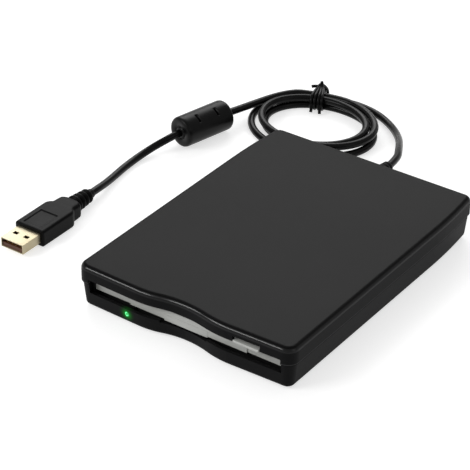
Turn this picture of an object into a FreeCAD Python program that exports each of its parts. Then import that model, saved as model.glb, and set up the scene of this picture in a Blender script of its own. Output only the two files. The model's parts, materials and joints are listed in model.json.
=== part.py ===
import FreeCAD, Part
import math
import os

# External floppy disk drive with its own lead, lying on a table.
# Millimetres. Origin: middle of the case's footprint, on the table.
# -Y is the front with the disk slot, +X is to the right, +Z is up.

os.makedirs("parts", exist_ok=True)
V = FreeCAD.Vector

# Case
case_width = 105.0
case_depth = 142.0
case_top = 20.4
foot_height = 1.0
parting_z = 12.5
wall = 1.6
top_round = 2.5
bottom_round = 1.6
inner_round = 1.2         # the same rim inside
lower_step = 0.6          # the lower case stands back this far at the parting line
lower_draft = 1.2         # and this much more at its bottom
bulge_x = 21.6            # the front is furthest forward here, each side of the scoop
bulge_out = 0.75
scoop_middle = -0.8
scoop_depth_top = 2.5
scoop_depth_bottom = 3.1
front_corner = 5.0
rear_corner = 4.0
rear_narrowing = 1.65     # each side draws in this much over the last stretch
rear_stretch = 33.0
foot_radius = 4.0
foot_x = 43.0
foot_y = 58.0

screw_boss_x = 42.5
screw_boss_y = case_depth / 2 - 7.4
screw_boss_radius = 2.8
case_screw_radius = 1.2
case_screw_head = 2.3
case_screw_seat = 5.2     # the screw's head bears at this height, up a well in the floor
boss_meet = 8.0           # upper and lower bosses meet here
hook_x = 48.5
hook_width = 1.2

# Slot in the front, and what closes it
slot_left = -46.6
slot_right = 47.2
slot_bottom = 7.8
slot_top = 14.65
sill_notch_bottom = 7.0
button_left = 25.5
button_width = 12.0
button_bottom = 14.2
button_top = 15.4
button_depth = 3.95
button_gap = 0.35
button_notch_top = 17.1
button_root = 13.55       # its root behind the lip of the slot reaches down to the eject plate
button_root_back = 2.0
door_left = -46.0
door_right = 44.6
door_thickness = 1.0
door_pivot_z = 12.9
door_bottom = 8.15
door_back_from_front = 4.95    # pivot line behind the front of the case
panel_left = -28.0
panel_right = 29.0
panel_bottom = 8.0
panel_proud = 0.55
tongue_left = -11.0
tongue_right = 10.2
tongue_bottom = 7.45
door_pin_radius = 0.35
spring_room = 2.8         # notch in the door's left end for its spring
door_spring_radius = 0.65
door_spring_wire = 0.18
door_spring_turns = 3
fit = 0.05                # radial running clearance of a small pin
clear = 0.3               # gap between neighbours that do not touch
lamp_x = -27.5
lamp_z = 5.2
lamp_radius = 1.1

# Drive frame inside the case
front_y = -case_depth / 2 + bulge_out      # plane that the drive is set out from
chassis_half = 48.0
sheet = 0.6
side_sheet = 0.7
chassis_bottom = 3.7
chassis_height = 11.2
chassis_front = front_y + 8.4
chassis_rear = front_y + 130.4
standoff_x = 43.0
standoff_front = front_y + 20.0
standoff_rear = front_y + 119.0
bezel_front = front_y + 4.1
rail_bottom_height = 2.6
lid_thickness = 0.4

# Disk carrier and its mechanism
holder_half = 45.45       # inner half width
holder_wall = 0.5
holder_bottom = 8.3
holder_inside = 3.5
lip = 5.0
holder_front = front_y + 11.2
holder_length = 93.0
head_slot_half = 7.6
head_slot_front = front_y + 84.0
pin_radius = 0.7
pin_z = 10.5
pin_front = front_y + 30.0
pin_rear = front_y + 90.0
eject_travel = 4.0
lift_travel = 2.0
plate_bottom = 13.6
plate_thickness = 0.4
plate_half = 46.8
flange = 0.5
plate_front = front_y + 20.0
plate_rear = front_y + 104.0
window_half = 13.0
spring_x = 38.0
spring_z = 12.2
eject_spring_radius = 1.3
eject_spring_wire = 0.35
eject_spring_turns = 12

lever_pivot_x = -32.0
lever_pivot_y = front_y + 98.0
lever_length = 24.0
lever_start = -60.0
lever_turn = 35.0
lever_pin_radius = 0.8
lever_thickness = 0.5

# Spindle motor
spindle_y = front_y + 64.0
board_bottom = 4.3
board_thickness = 0.4
rotor_radius = 21.0
rotor_wall = 1.0
rotor_top = 6.1
rotor_sheet = 0.4
rotor_bottom = 5.0
magnet_width = 3.0
hub_radius = 12.5
hub_thickness = 0.8
shaft_radius = 1.5
shaft_top = 8.2
drive_pin_circle = 10.0
drive_pin_radius = 0.9
coil_count = 9
coil_inner = 7.5
coil_outer = 15.5
coil_width = 3.0

board_front = front_y + 12.0
board_half = 41.0
board_rear = front_y + 86.0

# Heads and their stepper
head_y = front_y + 103.5
head_travel = 14.8
head_half = 1.5
head_top = 8.05
deck_bottom = 4.9
deck_thickness = 1.25
deck_front = 3.0          # deck in front of the heads
deck_rear = 17.5          # and behind them
rod_x = -16.0
rod_z = 5.35
rod_radius = 0.7
arm_pivot_back = 14.0     # pivot of the upper arm behind the heads
arm_pivot_z = 10.4
arm_pin_radius = 0.6
arm_half = 4.5
arm_thickness = 0.8
arm_lift = 15.5           # degrees that the arm is held up with no disk in
screw_x = 20.0
screw_z = 8.9
screw_radius = 1.0
screw_front = holder_front + holder_length + 1.4
motor_front = front_y + 122.5
motor_radius = 4.4

# Sensors and the rear board
switch_places = [(-34.0, 25.0), (34.0, 25.0), (26.0, 20.0)]
plunger_half = 0.8
plunger_top = 7.0
plunger_travel = 1.0
drive_screw_radius = 1.2
drive_screw_head = 2.3
drive_screw_seat = 2.3
usb_board_half = 34.0
usb_board_y = case_depth / 2 - 7.0
usb_board_depth = 6.4
usb_board_z = 4.6
usb_board_thickness = 1.0

# Lead
cable_radius = 1.75
lead_exit_x = 1.5
boot_radius = 4.0
boot_tip_radius = 2.6
boot_length = 10.5
boot_neck = 2.7
neck_hole = boot_neck + fit
coil_x = -54.0
coil_y = 107.8
coil_half_x = 31.6
coil_half_y = 25.8
coil_entry_out = 2.5      # the lead comes in this far outside the outer turn
coil_innermost = 7.3      # the innermost turn lies this far inside it
coil_exit_in = 1.0        # and the lead leaves this far inside it
coil_layer = 4.05         # rise from one layer to the next
coil_loops = 1.5          # turns in on the lower layer, and out again on the upper
coil_start = 115.0        # degrees, counted from +X about the coil's middle
tie_width = 3.0
tie_thickness = 0.6
tie_room = 0.85          # between the strands and the tie's legs
bead_radius = 7.7
bead_front = V(-96.5, 57.0, 7.7)
bead_rear = V(-89.6, 86.2, 7.7)

# Plug
plug_x = -99.2
plug_z = 4.0
plug_tip = -56.4
plug_face = -45.0
plug_shell_width = 12.0
plug_shell_height = 4.5
plug_sheet = 0.35
grip_width = 15.7
grip_height = 8.0
grip_shoulder = -25.0
grip_rear = -14.6
collar_end = -2.7
collar_radius = 4.0
collar_tip = 3.4
ring_count = 5


def save(shape, name):
    """Writes one named sub-part."""
    shape.exportStep("parts/" + name + ".step")
    print(name, "solids", len(shape.Solids), "volume", round(shape.Volume, 2), shape.isValid())


def box(x0, x1, y0, y1, z0, z1):
    """Box between two values on each axis."""
    return Part.makeBox(x1 - x0, y1 - y0, z1 - z0, V(x0, y0, z0))


def rod(radius, start, end):
    """Round bar from one point to another."""
    return Part.makeCylinder(radius, (end - start).Length, start, end - start)


def tube(outer, inner, start, end):
    """Round bar with a bore right through."""
    return rod(outer, start, end).cut(rod(inner, start, end))


def fuse(shapes):
    """Joins touching shapes into one solid with no leftover seams."""
    return shapes[0].multiFuse(shapes[1:]).removeSplitter()


def solids(shapes):
    """Keeps shapes as separate solids of one sub-part."""
    return Part.makeCompound(shapes)


def slot_cut(x0, x1, start, end, radius):
    """Long round-ended hole across X, from start to end given as (y, z)."""
    direction = V(0, end[0] - start[0], end[1] - start[1])
    side = V(1, 0, 0).cross(direction)
    side.normalize()
    side.multiply(radius)
    a = V(x0, start[0], start[1])
    b = V(x0, end[0], end[1])
    corners = [a + side, b + side, b - side, a - side, a + side]
    middle = Part.Face(Part.makePolygon(corners)).extrude(V(x1 - x0, 0, 0))
    across = V(x1 - x0, 0, 0)
    return fuse([middle, rod(radius, a, a + across), rod(radius, b, b + across)])


def coil_spring(radius, wire, turns, start, end):
    """Open coil spring of round wire from one point to another."""
    length = (end - start).Length
    height = length - 2 * wire
    helix = Part.makeHelix(height / turns, height, radius)
    section = Part.Wire(Part.Circle(V(radius, 0, 0), V(0, 1, 0), wire).toShape())
    spring = Part.Wire(helix).makePipeShell([section], True, True)
    turn = FreeCAD.Rotation(V(0, 0, 1), end - start)
    move = (end - start) * (wire / length)
    spring.Placement = FreeCAD.Placement(start + move, turn)
    return spring


# Case outline

def outline(inset, scoop_depth, z):
    """Plan of the case: bulged front with a finger scoop, sides that draw in at the rear."""
    half = case_width / 2 - inset
    front = -case_depth / 2 + bulge_out + inset
    peak = front - bulge_out
    rear = case_depth / 2 - inset
    rear_half = half - rear_narrowing
    taper_start = rear + inset - rear_stretch
    radius_front = front_corner - inset
    radius_rear = rear_corner - inset
    half_turn = radius_front * (1 - math.sqrt(0.5))
    rear_turn = radius_rear * (1 - math.sqrt(0.5))
    left_middle = (scoop_middle - bulge_x) / 2
    right_middle = (scoop_middle + bulge_x) / 2
    floor = peak + scoop_depth
    halfway = (peak + floor) / 2

    def arc(a, m, b):
        return Part.Arc(V(a[0], a[1], z), V(m[0], m[1], z), V(b[0], b[1], z)).toShape()

    def line(a, b):
        return Part.LineSegment(V(a[0], a[1], z), V(b[0], b[1], z)).toShape()

    def s_curve(x0, y0, x1, y1):
        """Two equal arcs that leave and arrive along X."""
        middle = ((x0 + x1) / 2, (y0 + y1) / 2)
        run = (x1 - x0) / 2
        rise = (y1 - y0) / 2
        radius = (run * run + rise * rise) / (2 * abs(rise))
        up = math.copysign(1, rise)
        angle = math.atan2(run, radius - abs(rise)) / 2
        step = radius * math.sin(angle)
        lift = up * radius * (1 - math.cos(angle))
        first = (x0 + math.copysign(step, run), y0 + lift)
        second = (x1 - math.copysign(step, run), y1 - lift)
        return [arc((x0, y0), first, middle), arc(middle, second, (x1, y1))]

    def side_arc(sign):
        """Side that starts straight and bends in towards the rear corner."""
        start = (sign * half, taper_start)
        end = (sign * rear_half, rear - radius_rear)
        run = end[1] - start[1]
        fall = half - rear_half
        radius = (run * run + fall * fall) / (2 * fall)
        angle = math.asin(run / radius) / 2
        middle = (sign * (half - radius * (1 - math.cos(angle))), start[1] + radius * math.sin(angle))
        return start, middle, end

    right_start, right_mid, right_end = side_arc(1)
    left_start, left_mid, left_end = side_arc(-1)
    edges = s_curve(-bulge_x, peak, scoop_middle, floor)
    edges += s_curve(scoop_middle, floor, bulge_x, peak)
    edges.append(line((bulge_x, peak), (half - radius_front, front)))
    edges.append(arc((half - radius_front, front), (half - half_turn, front + half_turn),
                     (half, front + radius_front)))
    edges.append(line((half, front + radius_front), right_start))
    edges.append(arc(right_start, right_mid, right_end))
    edges.append(arc(right_end, (rear_half - rear_turn, rear - rear_turn), (rear_half - radius_rear, rear)))
    edges.append(line((rear_half - radius_rear, rear), (-rear_half + radius_rear, rear)))
    edges.append(arc((-rear_half + radius_rear, rear), (-rear_half + rear_turn, rear - rear_turn), left_end))
    edges.append(arc(left_end, left_mid, left_start))
    edges.append(line(left_start, (-half, front + radius_front)))
    edges.append(arc((-half, front + radius_front), (-half + half_turn, front + half_turn),
                     (-half + radius_front, front)))
    edges.append(line((-half + radius_front, front), (-bulge_x, peak)))
    return Part.Wire(edges)


def rim_edges(shape, z):
    """Edges that lie wholly at one height."""
    found = []
    for edge in shape.Edges:
        limits = edge.BoundBox
        if abs(limits.ZMin - z) < 1e-4 and abs(limits.ZMax - z) < 1e-4:
            found.append(edge)
    return found


def top_cover():
    """Upper shell: outline, rounded rim, hollow inside, upper half of the slot."""
    height = case_top - parting_z
    body = Part.Face(outline(0, scoop_depth_top, parting_z)).extrude(V(0, 0, height))
    body = body.makeFillet(top_round, rim_edges(body, case_top))
    hollow = Part.Face(outline(wall, scoop_depth_top, parting_z)).extrude(V(0, 0, height - wall))
    hollow = hollow.makeFillet(inner_round, rim_edges(hollow, case_top - wall))
    shell = body.cut(hollow)
    front = -case_depth / 2 - 1
    through = front_y + wall + scoop_depth_top + 1
    shell = shell.cut(box(slot_left, slot_right, front, through, parting_z, slot_top))
    notch_left = button_left - button_gap
    notch_right = button_left + button_width + button_gap
    shell = shell.cut(box(notch_left, notch_right, front, through, parting_z, button_notch_top))
    neck = rod(neck_hole, V(lead_exit_x, case_depth / 2 - 2 * wall, parting_z),
               V(lead_exit_x, case_depth / 2 + 1, parting_z))
    shell = shell.cut(neck)
    extra = []
    for side in (-1, 1):
        foot = V(side * screw_boss_x, screw_boss_y, boss_meet)
        head = V(side * screw_boss_x, screw_boss_y, case_top - wall)
        extra.append(tube(screw_boss_radius, case_screw_radius, foot, head))
        inner = side * hook_x
        outer = side * (hook_x + hook_width)
        extra.append(box(min(inner, outer), max(inner, outer), front_y + 14, front_y + 22,
                         parting_z - 3, case_top - wall - 0.5))
    web_x = case_width / 2 - wall
    for side in (-1, 1):
        inner = side * hook_x
        outer = side * (web_x + 0.5)
        extra.append(box(min(inner, outer), max(inner, outer), front_y + 14, front_y + 22,
                         parting_z + 1, case_top - wall - 0.5))
    return fuse([shell] + extra)


def lower_wire(level, inset):
    """Plan of the lower case at a height; the draft grows towards its bottom."""
    share = (parting_z - level) / (parting_z - foot_height)
    scoop = scoop_depth_top + (scoop_depth_bottom - scoop_depth_top) * (0.4 + 0.6 * share)
    return outline(lower_step + lower_draft * share + inset, scoop, level)


def bottom_case():
    """Lower shell: drafted outline, hollow inside, slot sill, bosses."""
    body = Part.makeLoft([lower_wire(foot_height, 0), lower_wire(parting_z, 0)], True, True)
    body = body.makeFillet(bottom_round, rim_edges(body, foot_height))
    floor_z = foot_height + wall
    hollow = Part.makeLoft([lower_wire(floor_z, wall), lower_wire(parting_z, wall)], True, True)
    shell = body.cut(hollow)
    front = -case_depth / 2 - 1
    through = front_y + wall + scoop_depth_bottom + 2
    shell = shell.cut(box(slot_left, slot_right, front, through, slot_bottom, parting_z))
    notch = 0.8
    shell = shell.cut(box(tongue_left - notch, tongue_right + notch, front, through,
                          sill_notch_bottom, slot_bottom + 1))
    shell = shell.cut(rod(neck_hole, V(lead_exit_x, case_depth / 2 - 3 * wall, parting_z),
                          V(lead_exit_x, case_depth / 2 + 1, parting_z)))
    shell = shell.cut(rod(lamp_radius + fit, V(lamp_x, front, lamp_z), V(lamp_x, through, lamp_z)))
    for side in (-1, 1):
        centre = V(side * screw_boss_x, screw_boss_y, floor_z)
        boss = rod(screw_boss_radius + 0.4, centre, centre + V(0, 0, boss_meet - floor_z))
        shell = fuse([shell, boss])
        well = V(side * screw_boss_x, screw_boss_y, foot_height - 1)
        shell = shell.cut(rod(case_screw_head + 0.1, well, V(well.x, well.y, case_screw_seat)))
        shell = shell.cut(rod(case_screw_radius + fit, well, V(well.x, well.y, boss_meet + 1)))
    for x, y in standoffs():
        boss = rod(3.4, V(x, y, floor_z), V(x, y, chassis_bottom))
        shell = fuse([shell, boss])
        shell = shell.cut(rod(drive_screw_head + 0.1, V(x, y, foot_height - 1), V(x, y, drive_screw_seat)))
        shell = shell.cut(rod(drive_screw_radius + fit, V(x, y, foot_height - 1),
                              V(x, y, chassis_bottom + 1)))
    for x in (-usb_board_half + 4, usb_board_half - 4):
        shell = fuse([shell, rod(1.6, V(x, usb_board_y, floor_z), V(x, usb_board_y, usb_board_z))])
    return shell


def standoffs():
    """Places where the drive stands on the floor of the case."""
    places = []
    for x in (-standoff_x, standoff_x):
        for y in (standoff_front, standoff_rear):
            places.append((x, y))
    return places


def rubber_feet():
    """Four round feet with softened rims."""
    feet = []
    for x in (-foot_x, foot_x):
        for y in (-foot_y, foot_y):
            foot = rod(foot_radius, V(x, y, 0), V(x, y, foot_height))
            feet.append(foot.makeChamfer(0.3, rim_edges(foot, 0)))
    return solids(feet)


def headed_screw(x, y, seat, head_radius, head_height, radius, tip):
    """Cross-head screw driven upwards; its head hangs below the seat."""
    head = rod(head_radius, V(x, y, seat - head_height), V(x, y, seat))
    shank = rod(radius, V(x, y, seat), V(x, y, tip))
    screw = head.fuse(shank)
    arm = 0.3
    reach = head_radius * 0.6
    low = seat - head_height
    screw = screw.cut(box(x - reach, x + reach, y - arm, y + arm, low, low + 0.6))
    return screw.cut(box(x - arm, x + arm, y - reach, y + reach, low, low + 0.6))


def case_screws():
    """Two screws that close the case at the rear."""
    screws = []
    for side in (-1, 1):
        screws.append(headed_screw(side * screw_boss_x, screw_boss_y, case_screw_seat, case_screw_head,
                                   1.4, case_screw_radius, boss_meet + 7))
    return solids(screws)


def drive_screws():
    """Four screws that hold the drive to the floor of the case."""
    screws = []
    for x, y in standoffs():
        tip = chassis_bottom + sheet + 0.8
        screws.append(headed_screw(x, y, drive_screw_seat, drive_screw_head, 1.1, drive_screw_radius, tip))
    return solids(screws)


# Drive frame

def chassis():
    """Folded steel tray: floor, two sides with guide slots, rear wall and spring tabs."""
    top = chassis_bottom + chassis_height
    floor = box(-chassis_half, chassis_half, chassis_front, chassis_rear, chassis_bottom,
                chassis_bottom + sheet)
    pieces = [floor]
    for side in (-1, 1):
        inner = side * (chassis_half - side_sheet)
        outer = side * chassis_half
        pieces.append(box(min(inner, outer), max(inner, outer), chassis_front, chassis_rear,
                          chassis_bottom, top))
    pieces.append(box(-chassis_half, chassis_half, chassis_rear - side_sheet, chassis_rear,
                      chassis_bottom, screw_z - motor_radius + 1.5))
    for side in (-1, 1):
        edge = side * spring_x
        pieces.append(box(edge - 3, edge + 3, chassis_rear - side_sheet, chassis_rear,
                          chassis_bottom, spring_z + 2))
    tray = fuse(pieces)
    for side in (-1, 1):
        start = side * (chassis_half - side_sheet) - side * 1
        end = side * chassis_half + side * 1
        for y in (pin_front, pin_rear):
            tray = tray.cut(slot_cut(start, end, (y, pin_z), (y, pin_z - lift_travel), pin_radius + fit))
    for x, y in standoffs():
        tray = tray.cut(rod(drive_screw_radius, V(x, y, chassis_bottom - 1), V(x, y, chassis_bottom + 2)))
    return tray.cut(rod(motor_radius + 0.2, V(screw_x, chassis_rear - 2, screw_z),
                        V(screw_x, chassis_rear + 1, screw_z)))


def drive_lid():
    """Thin steel cover of the drive with a window over the heads."""
    base = chassis_bottom + chassis_height
    lid = box(-chassis_half, chassis_half, chassis_front + 1, chassis_rear, base, base + lid_thickness)
    window = box(-window_half - 1, window_half + 1, head_y - head_travel - 5, chassis_rear - 4,
                 base - 1, base + 1)
    lid = lid.cut(window)
    for side in (-1, 1):
        for y in (chassis_front + 6, chassis_rear - 6):
            lid = lid.cut(rod(1.2, V(side * 44, y, base - 1), V(side * 44, y, base + 1)))
    return lid


def drive_bezel():
    """Grey moulded frame round the disk slot; its posts carry the door's pins."""
    low = chassis_bottom + 0.3
    top = slot_top + 2.0
    left = box(-chassis_half, door_left - 0.2, bezel_front, chassis_front, low, top)
    right = box(door_right + clear, chassis_half, bezel_front, chassis_front, low, top)
    upper = box(-chassis_half, chassis_half, bezel_front, chassis_front, slot_top + 0.2, top)
    lower = box(-chassis_half, chassis_half, chassis_front - 2.0, chassis_front, low,
                low + rail_bottom_height)
    frame = fuse([left, right, upper, lower])
    pivot = V(0, door_pivot_y(), door_pivot_z)
    left_hole = rod(door_pin_radius + fit, V(door_left - 1.3, pivot.y, pivot.z),
                    V(door_left, pivot.y, pivot.z))
    right_hole = rod(door_pin_radius + fit, V(door_right, pivot.y, pivot.z),
                     V(door_right + 1.4, pivot.y, pivot.z))
    frame = frame.cut(left_hole).cut(right_hole)
    lamp = rod(lamp_radius + fit, V(lamp_x, bezel_front, lamp_z), V(lamp_x, chassis_front + 1, lamp_z))
    frame = frame.cut(lamp)
    key_room = box(button_left - button_gap, button_left + button_width + button_gap, bezel_front - 1,
                   chassis_front + 1, slot_top, button_top + clear)
    return frame.cut(key_room)


def door_pivot_y():
    """Line that the dust door turns about."""
    return front_y + door_back_from_front


def dust_door():
    """Grey flap with a raised panel and a finger tongue, hung on two stub pins."""
    y = door_pivot_y()
    front = y - door_thickness / 2
    back = y + door_thickness / 2
    plate = box(door_left, door_right, front, back, door_bottom, door_pivot_z)
    head = rod(door_thickness / 2, V(door_left, y, door_pivot_z), V(door_right, y, door_pivot_z))
    panel = box(panel_left, panel_right, front - panel_proud, back, panel_bottom, door_pivot_z - 0.3)
    tongue = box(tongue_left, tongue_right, front - panel_proud - 0.1, back, tongue_bottom,
                 door_pivot_z - 2.6)
    right_pin = rod(door_pin_radius, V(door_right, y, door_pivot_z), V(door_right + 1.3, y, door_pivot_z))
    notch = box(door_left + 0.3, door_left + spring_room, front - 1, back + 1, door_pivot_z - 0.9,
                door_pivot_z + 1)
    leaf = fuse([plate, head, panel, tongue]).cut(notch)
    left_pin = rod(door_pin_radius, V(door_left - 1.2, y, door_pivot_z),
                   V(door_left + spring_room + 0.1, y, door_pivot_z))
    return fuse([leaf, left_pin, right_pin])


def door_spring():
    """Small torsion spring wound round the door's left pin, in a notch of the door."""
    start = V(door_left + 0.5, door_pivot_y(), door_pivot_z)
    end = start + V(spring_room - 0.8, 0, 0)
    return coil_spring(door_spring_radius, door_spring_wire, door_spring_turns, start, end)


def status_light():
    """Clear light guide from the case front back to its lamp."""
    outer = front_y + 1.2 + lower_step
    guide = rod(lamp_radius, V(lamp_x, outer, lamp_z), V(lamp_x, chassis_front - 0.1, lamp_z))
    front_rim = [edge for edge in guide.Edges if edge.BoundBox.YMax < outer + 1e-4]
    return guide.makeFillet(0.4, front_rim)


def status_lamp():
    """Green lamp standing on the motor board behind the light guide."""
    base = board_bottom + board_thickness
    y0 = board_front
    return box(lamp_x - 1.2, lamp_x + 1.2, y0, y0 + 1.6, base, base + 1.2)


# Disk carrier

def disk_holder():
    """Folded carrier that the disk slides into, with four side pins and a head slot."""
    top = holder_bottom + holder_inside
    rear = holder_front + holder_length
    outer = holder_half + holder_wall
    pieces = [box(-outer, outer, holder_front, rear, top, top + holder_wall)]
    for side in (-1, 1):
        inner_x = side * holder_half
        outer_x = side * outer
        lip_x = side * (holder_half - lip)
        pieces.append(box(min(inner_x, outer_x), max(inner_x, outer_x), holder_front, rear,
                          holder_bottom - holder_wall, top + holder_wall))
        pieces.append(box(min(lip_x, outer_x), max(lip_x, outer_x), holder_front, rear,
                          holder_bottom - holder_wall, holder_bottom))
        for y in (pin_front, pin_rear):
            pieces.append(rod(pin_radius, V(side * holder_half + side * 0.1, y, pin_z),
                              V(side * (chassis_half - 0.2), y, pin_z)))
    holder = fuse(pieces)
    holder = holder.cut(box(-head_slot_half, head_slot_half, head_slot_front, rear + 1, top - 1, top + 1))
    return holder.cut(lever_path(top - 1, top + 1))


def lever_point(degrees, radius):
    """Point at a radius from the shutter lever's pivot."""
    angle = math.radians(degrees)
    return V(lever_pivot_x + radius * math.cos(angle), lever_pivot_y + radius * math.sin(angle), 0)


def lever_path(z0, z1):
    """Curved hole that the shutter lever's pin runs in, with its pivot hole."""
    gap = lever_pin_radius + 0.3
    start = lever_start - 1
    end = lever_start + lever_turn + 1
    middle = (start + end) / 2
    outer = lever_length + gap
    inner = lever_length - gap
    edges = [
        Part.Arc(lever_point(start, outer), lever_point(middle, outer), lever_point(end, outer)).toShape(),
        Part.LineSegment(lever_point(end, outer), lever_point(end, inner)).toShape(),
        Part.Arc(lever_point(end, inner), lever_point(middle, inner), lever_point(start, inner)).toShape(),
        Part.LineSegment(lever_point(start, inner), lever_point(start, outer)).toShape(),
    ]
    band = Part.Face(Part.Wire(edges)).extrude(V(0, 0, z1 - z0))
    band.translate(V(0, 0, z0))
    ends = []
    for degrees in (start, end):
        centre = lever_point(degrees, lever_length)
        ends.append(rod(gap, centre + V(0, 0, z0), centre + V(0, 0, z1)))
    pivot = V(lever_pivot_x, lever_pivot_y, 0)
    ends.append(rod(lever_pin_radius + fit, pivot + V(0, 0, z0), pivot + V(0, 0, z1)))
    return solids([fuse([band] + ends[:2]), ends[2]])


def shutter_lever():
    """Lever on the carrier that pushes the disk's shutter open."""
    base = holder_bottom + holder_inside + holder_wall
    pivot = lever_point(0, 0)
    tip = lever_point(lever_start, lever_length)
    along = tip - pivot
    side = V(-along.y, along.x, 0)
    side.normalize()
    side.multiply(1.6)
    corners = [pivot + side, tip + side, tip - side, pivot - side, pivot + side]
    bar = Part.Face(Part.makePolygon(corners)).extrude(V(0, 0, lever_thickness))
    bar.translate(V(0, 0, base))
    pieces = [bar]
    for centre in (pivot, tip):
        pieces.append(rod(1.6, centre + V(0, 0, base), centre + V(0, 0, base + lever_thickness)))
    pieces.append(rod(lever_pin_radius, tip + V(0, 0, base - 2.6), tip + V(0, 0, base + 0.2)))
    pieces.append(rod(lever_pin_radius, pivot + V(0, 0, base - holder_wall - 0.1),
                      pivot + V(0, 0, base + 0.2)))
    return fuse(pieces)


def eject_plate():
    """Sliding plate over the carrier; its ramped side slots lift the carrier's pins."""
    top = plate_bottom + plate_thickness
    deck = box(-plate_half, plate_half, plate_front, plate_rear, plate_bottom, top)
    deck = deck.cut(box(-window_half, window_half, head_slot_front, plate_rear + 1, plate_bottom - 1,
                        top + 1))
    button_middle = button_left + button_width / 2
    tongue = box(button_middle - 3.4, button_middle + 3.4, button_rear(), plate_front, plate_bottom, top)
    pieces = [deck, tongue]
    low = pin_z - lift_travel - pin_radius - 0.8
    for side in (-1, 1):
        inner = side * (plate_half - flange)
        outer = side * plate_half
        pieces.append(box(min(inner, outer), max(inner, outer), plate_front, plate_rear, low, top))
        tab = side * spring_x
        pieces.append(box(tab - 2.4, tab + 2.4, plate_rear - 1, tab_rear(), plate_bottom, top))
        pieces.append(box(tab - 2.4, tab + 2.4, tab_rear() - plate_thickness, tab_rear(),
                          spring_z - 1.6, top))
    plate = fuse(pieces)
    for side in (-1, 1):
        start = side * (plate_half - flange) - side * 1
        end = side * plate_half + side * 0.3
        for y in (pin_front, pin_rear):
            ramp = slot_cut(start, end, (y, pin_z), (y + eject_travel, pin_z - lift_travel),
                            pin_radius + fit)
            plate = plate.cut(ramp)
    return plate


def tab_rear():
    """Rear face of the plate's spring tabs, clear of the carrier at the end of their travel."""
    return holder_front + holder_length + eject_travel + plate_thickness + clear


def button_rear():
    """Rear face of the button, where it meets the eject plate's tongue."""
    return button_face() + button_depth


def button_face():
    """Front face of the button with the drive empty."""
    return front_y - 0.85


def eject_button():
    """Grey key with softened front edges and a root that stands on the eject plate's tongue."""
    key = box(button_left, button_left + button_width, button_face(), button_rear(), button_bottom,
              button_top)
    root = box(button_left + 1, button_left + button_width - 1, button_face() + button_root_back,
               button_rear(), button_root, button_bottom)
    key = fuse([key, root])
    front_edges = []
    for edge in key.Edges:
        limits = edge.BoundBox
        if limits.YMax < button_face() + 1e-4:
            front_edges.append(edge)
    return key.makeFillet(0.35, front_edges)


def eject_springs():
    """Two coil springs that push the eject plate forward when a disk drops in."""
    springs = []
    for side in (-1, 1):
        start = V(side * spring_x, tab_rear(), spring_z)
        end = V(side * spring_x, chassis_rear - side_sheet, spring_z)
        springs.append(coil_spring(eject_spring_radius, eject_spring_wire, eject_spring_turns, start, end))
    return solids(springs)


# Spindle motor

def motor_board():
    """Green board on the chassis floor that carries the spindle motor and the sensors."""
    board = box(-board_half + 3, board_half - 3, board_front, board_rear, board_bottom,
                board_bottom + board_thickness)
    return board


def board_parts():
    """Chips and small parts on the motor board, all lower than the disk."""
    base = board_bottom + board_thickness
    pieces = []
    for x, y, wide, deep, high in chip_places():
        pieces.append(box(x - wide / 2, x + wide / 2, y - deep / 2, y + deep / 2, base, base + high))
    return solids(pieces)


def chip_places():
    """Middle and size of each part on the motor board."""
    y = spindle_y
    return [
        (-29.0, y - 10.0, 10.0, 10.0, 0.9),
        (-29.0, y + 6.0, 7.0, 12.0, 0.9),
        (29.0, y - 8.0, 8.0, 8.0, 0.9),
        (29.5, y + 8.0, 5.0, 9.0, 0.8),
        (-10.0, y - 36.0, 6.0, 4.0, 0.8),
        (8.0, y - 36.0, 4.0, 4.0, 0.8),
        (-31.0, y + 17.0, 3.0, 1.6, 0.7),
        (31.0, y + 17.0, 3.0, 1.6, 0.7),
    ]


def bearing_housing():
    """Brass bush that stands on the board and carries the spindle shaft."""
    low = board_bottom + board_thickness
    foot = rod(4.6, V(0, spindle_y, low), V(0, spindle_y, low + 0.3))
    sleeve = rod(3.4, V(0, spindle_y, low), V(0, spindle_y, rotor_top - rotor_sheet - 0.15))
    bore = rod(shaft_radius + fit, V(0, spindle_y, low - 1), V(0, spindle_y, rotor_top))
    return foot.fuse(sleeve).cut(bore)


def stator():
    """Flat steel star of the motor with nine arms."""
    low = board_bottom + board_thickness + 0.05
    high = low + 0.6
    pieces = [tube(6.2, 4.8, V(0, spindle_y, low), V(0, spindle_y, high))]
    for index in range(coil_count):
        arm = box(5.6, coil_outer + 0.6, -0.7, 0.7, low, high)
        arm.rotate(V(0, 0, 0), V(0, 0, 1), index * 360 / coil_count)
        arm.translate(V(0, spindle_y, 0))
        pieces.append(arm)
    return fuse(pieces)


def stator_coils():
    """Nine flat copper windings, one round each stator arm."""
    low = board_bottom + board_thickness
    coils = []
    for index in range(coil_count):
        half = coil_width / 2
        body = box(coil_inner, coil_outer, -half, half, low + 0.02, low + 0.75)
        hole = box(coil_inner - 1, coil_outer + 1, -0.7, 0.7, low, low + 0.65)
        winding = body.cut(hole)
        winding.rotate(V(0, 0, 0), V(0, 0, 1), index * 360 / coil_count)
        winding.translate(V(0, spindle_y, 0))
        coils.append(winding)
    return solids(coils)


def rotor_cup():
    """Steel cup that turns over the windings."""
    centre = V(0, spindle_y, 0)
    plate = rod(rotor_radius, centre + V(0, 0, rotor_top - rotor_sheet), centre + V(0, 0, rotor_top))
    skirt = tube(rotor_radius, rotor_radius - rotor_wall, centre + V(0, 0, rotor_bottom),
                 centre + V(0, 0, rotor_top))
    cup = fuse([plate, skirt])
    return cup.cut(rod(shaft_radius, centre, centre + V(0, 0, rotor_top + 1)))


def rotor_magnet():
    """Magnet ring inside the rotor's skirt."""
    outer = rotor_radius - rotor_wall
    low = V(0, spindle_y, rotor_bottom)
    high = V(0, spindle_y, rotor_top - rotor_sheet)
    return tube(outer, outer - magnet_width, low, high)


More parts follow.
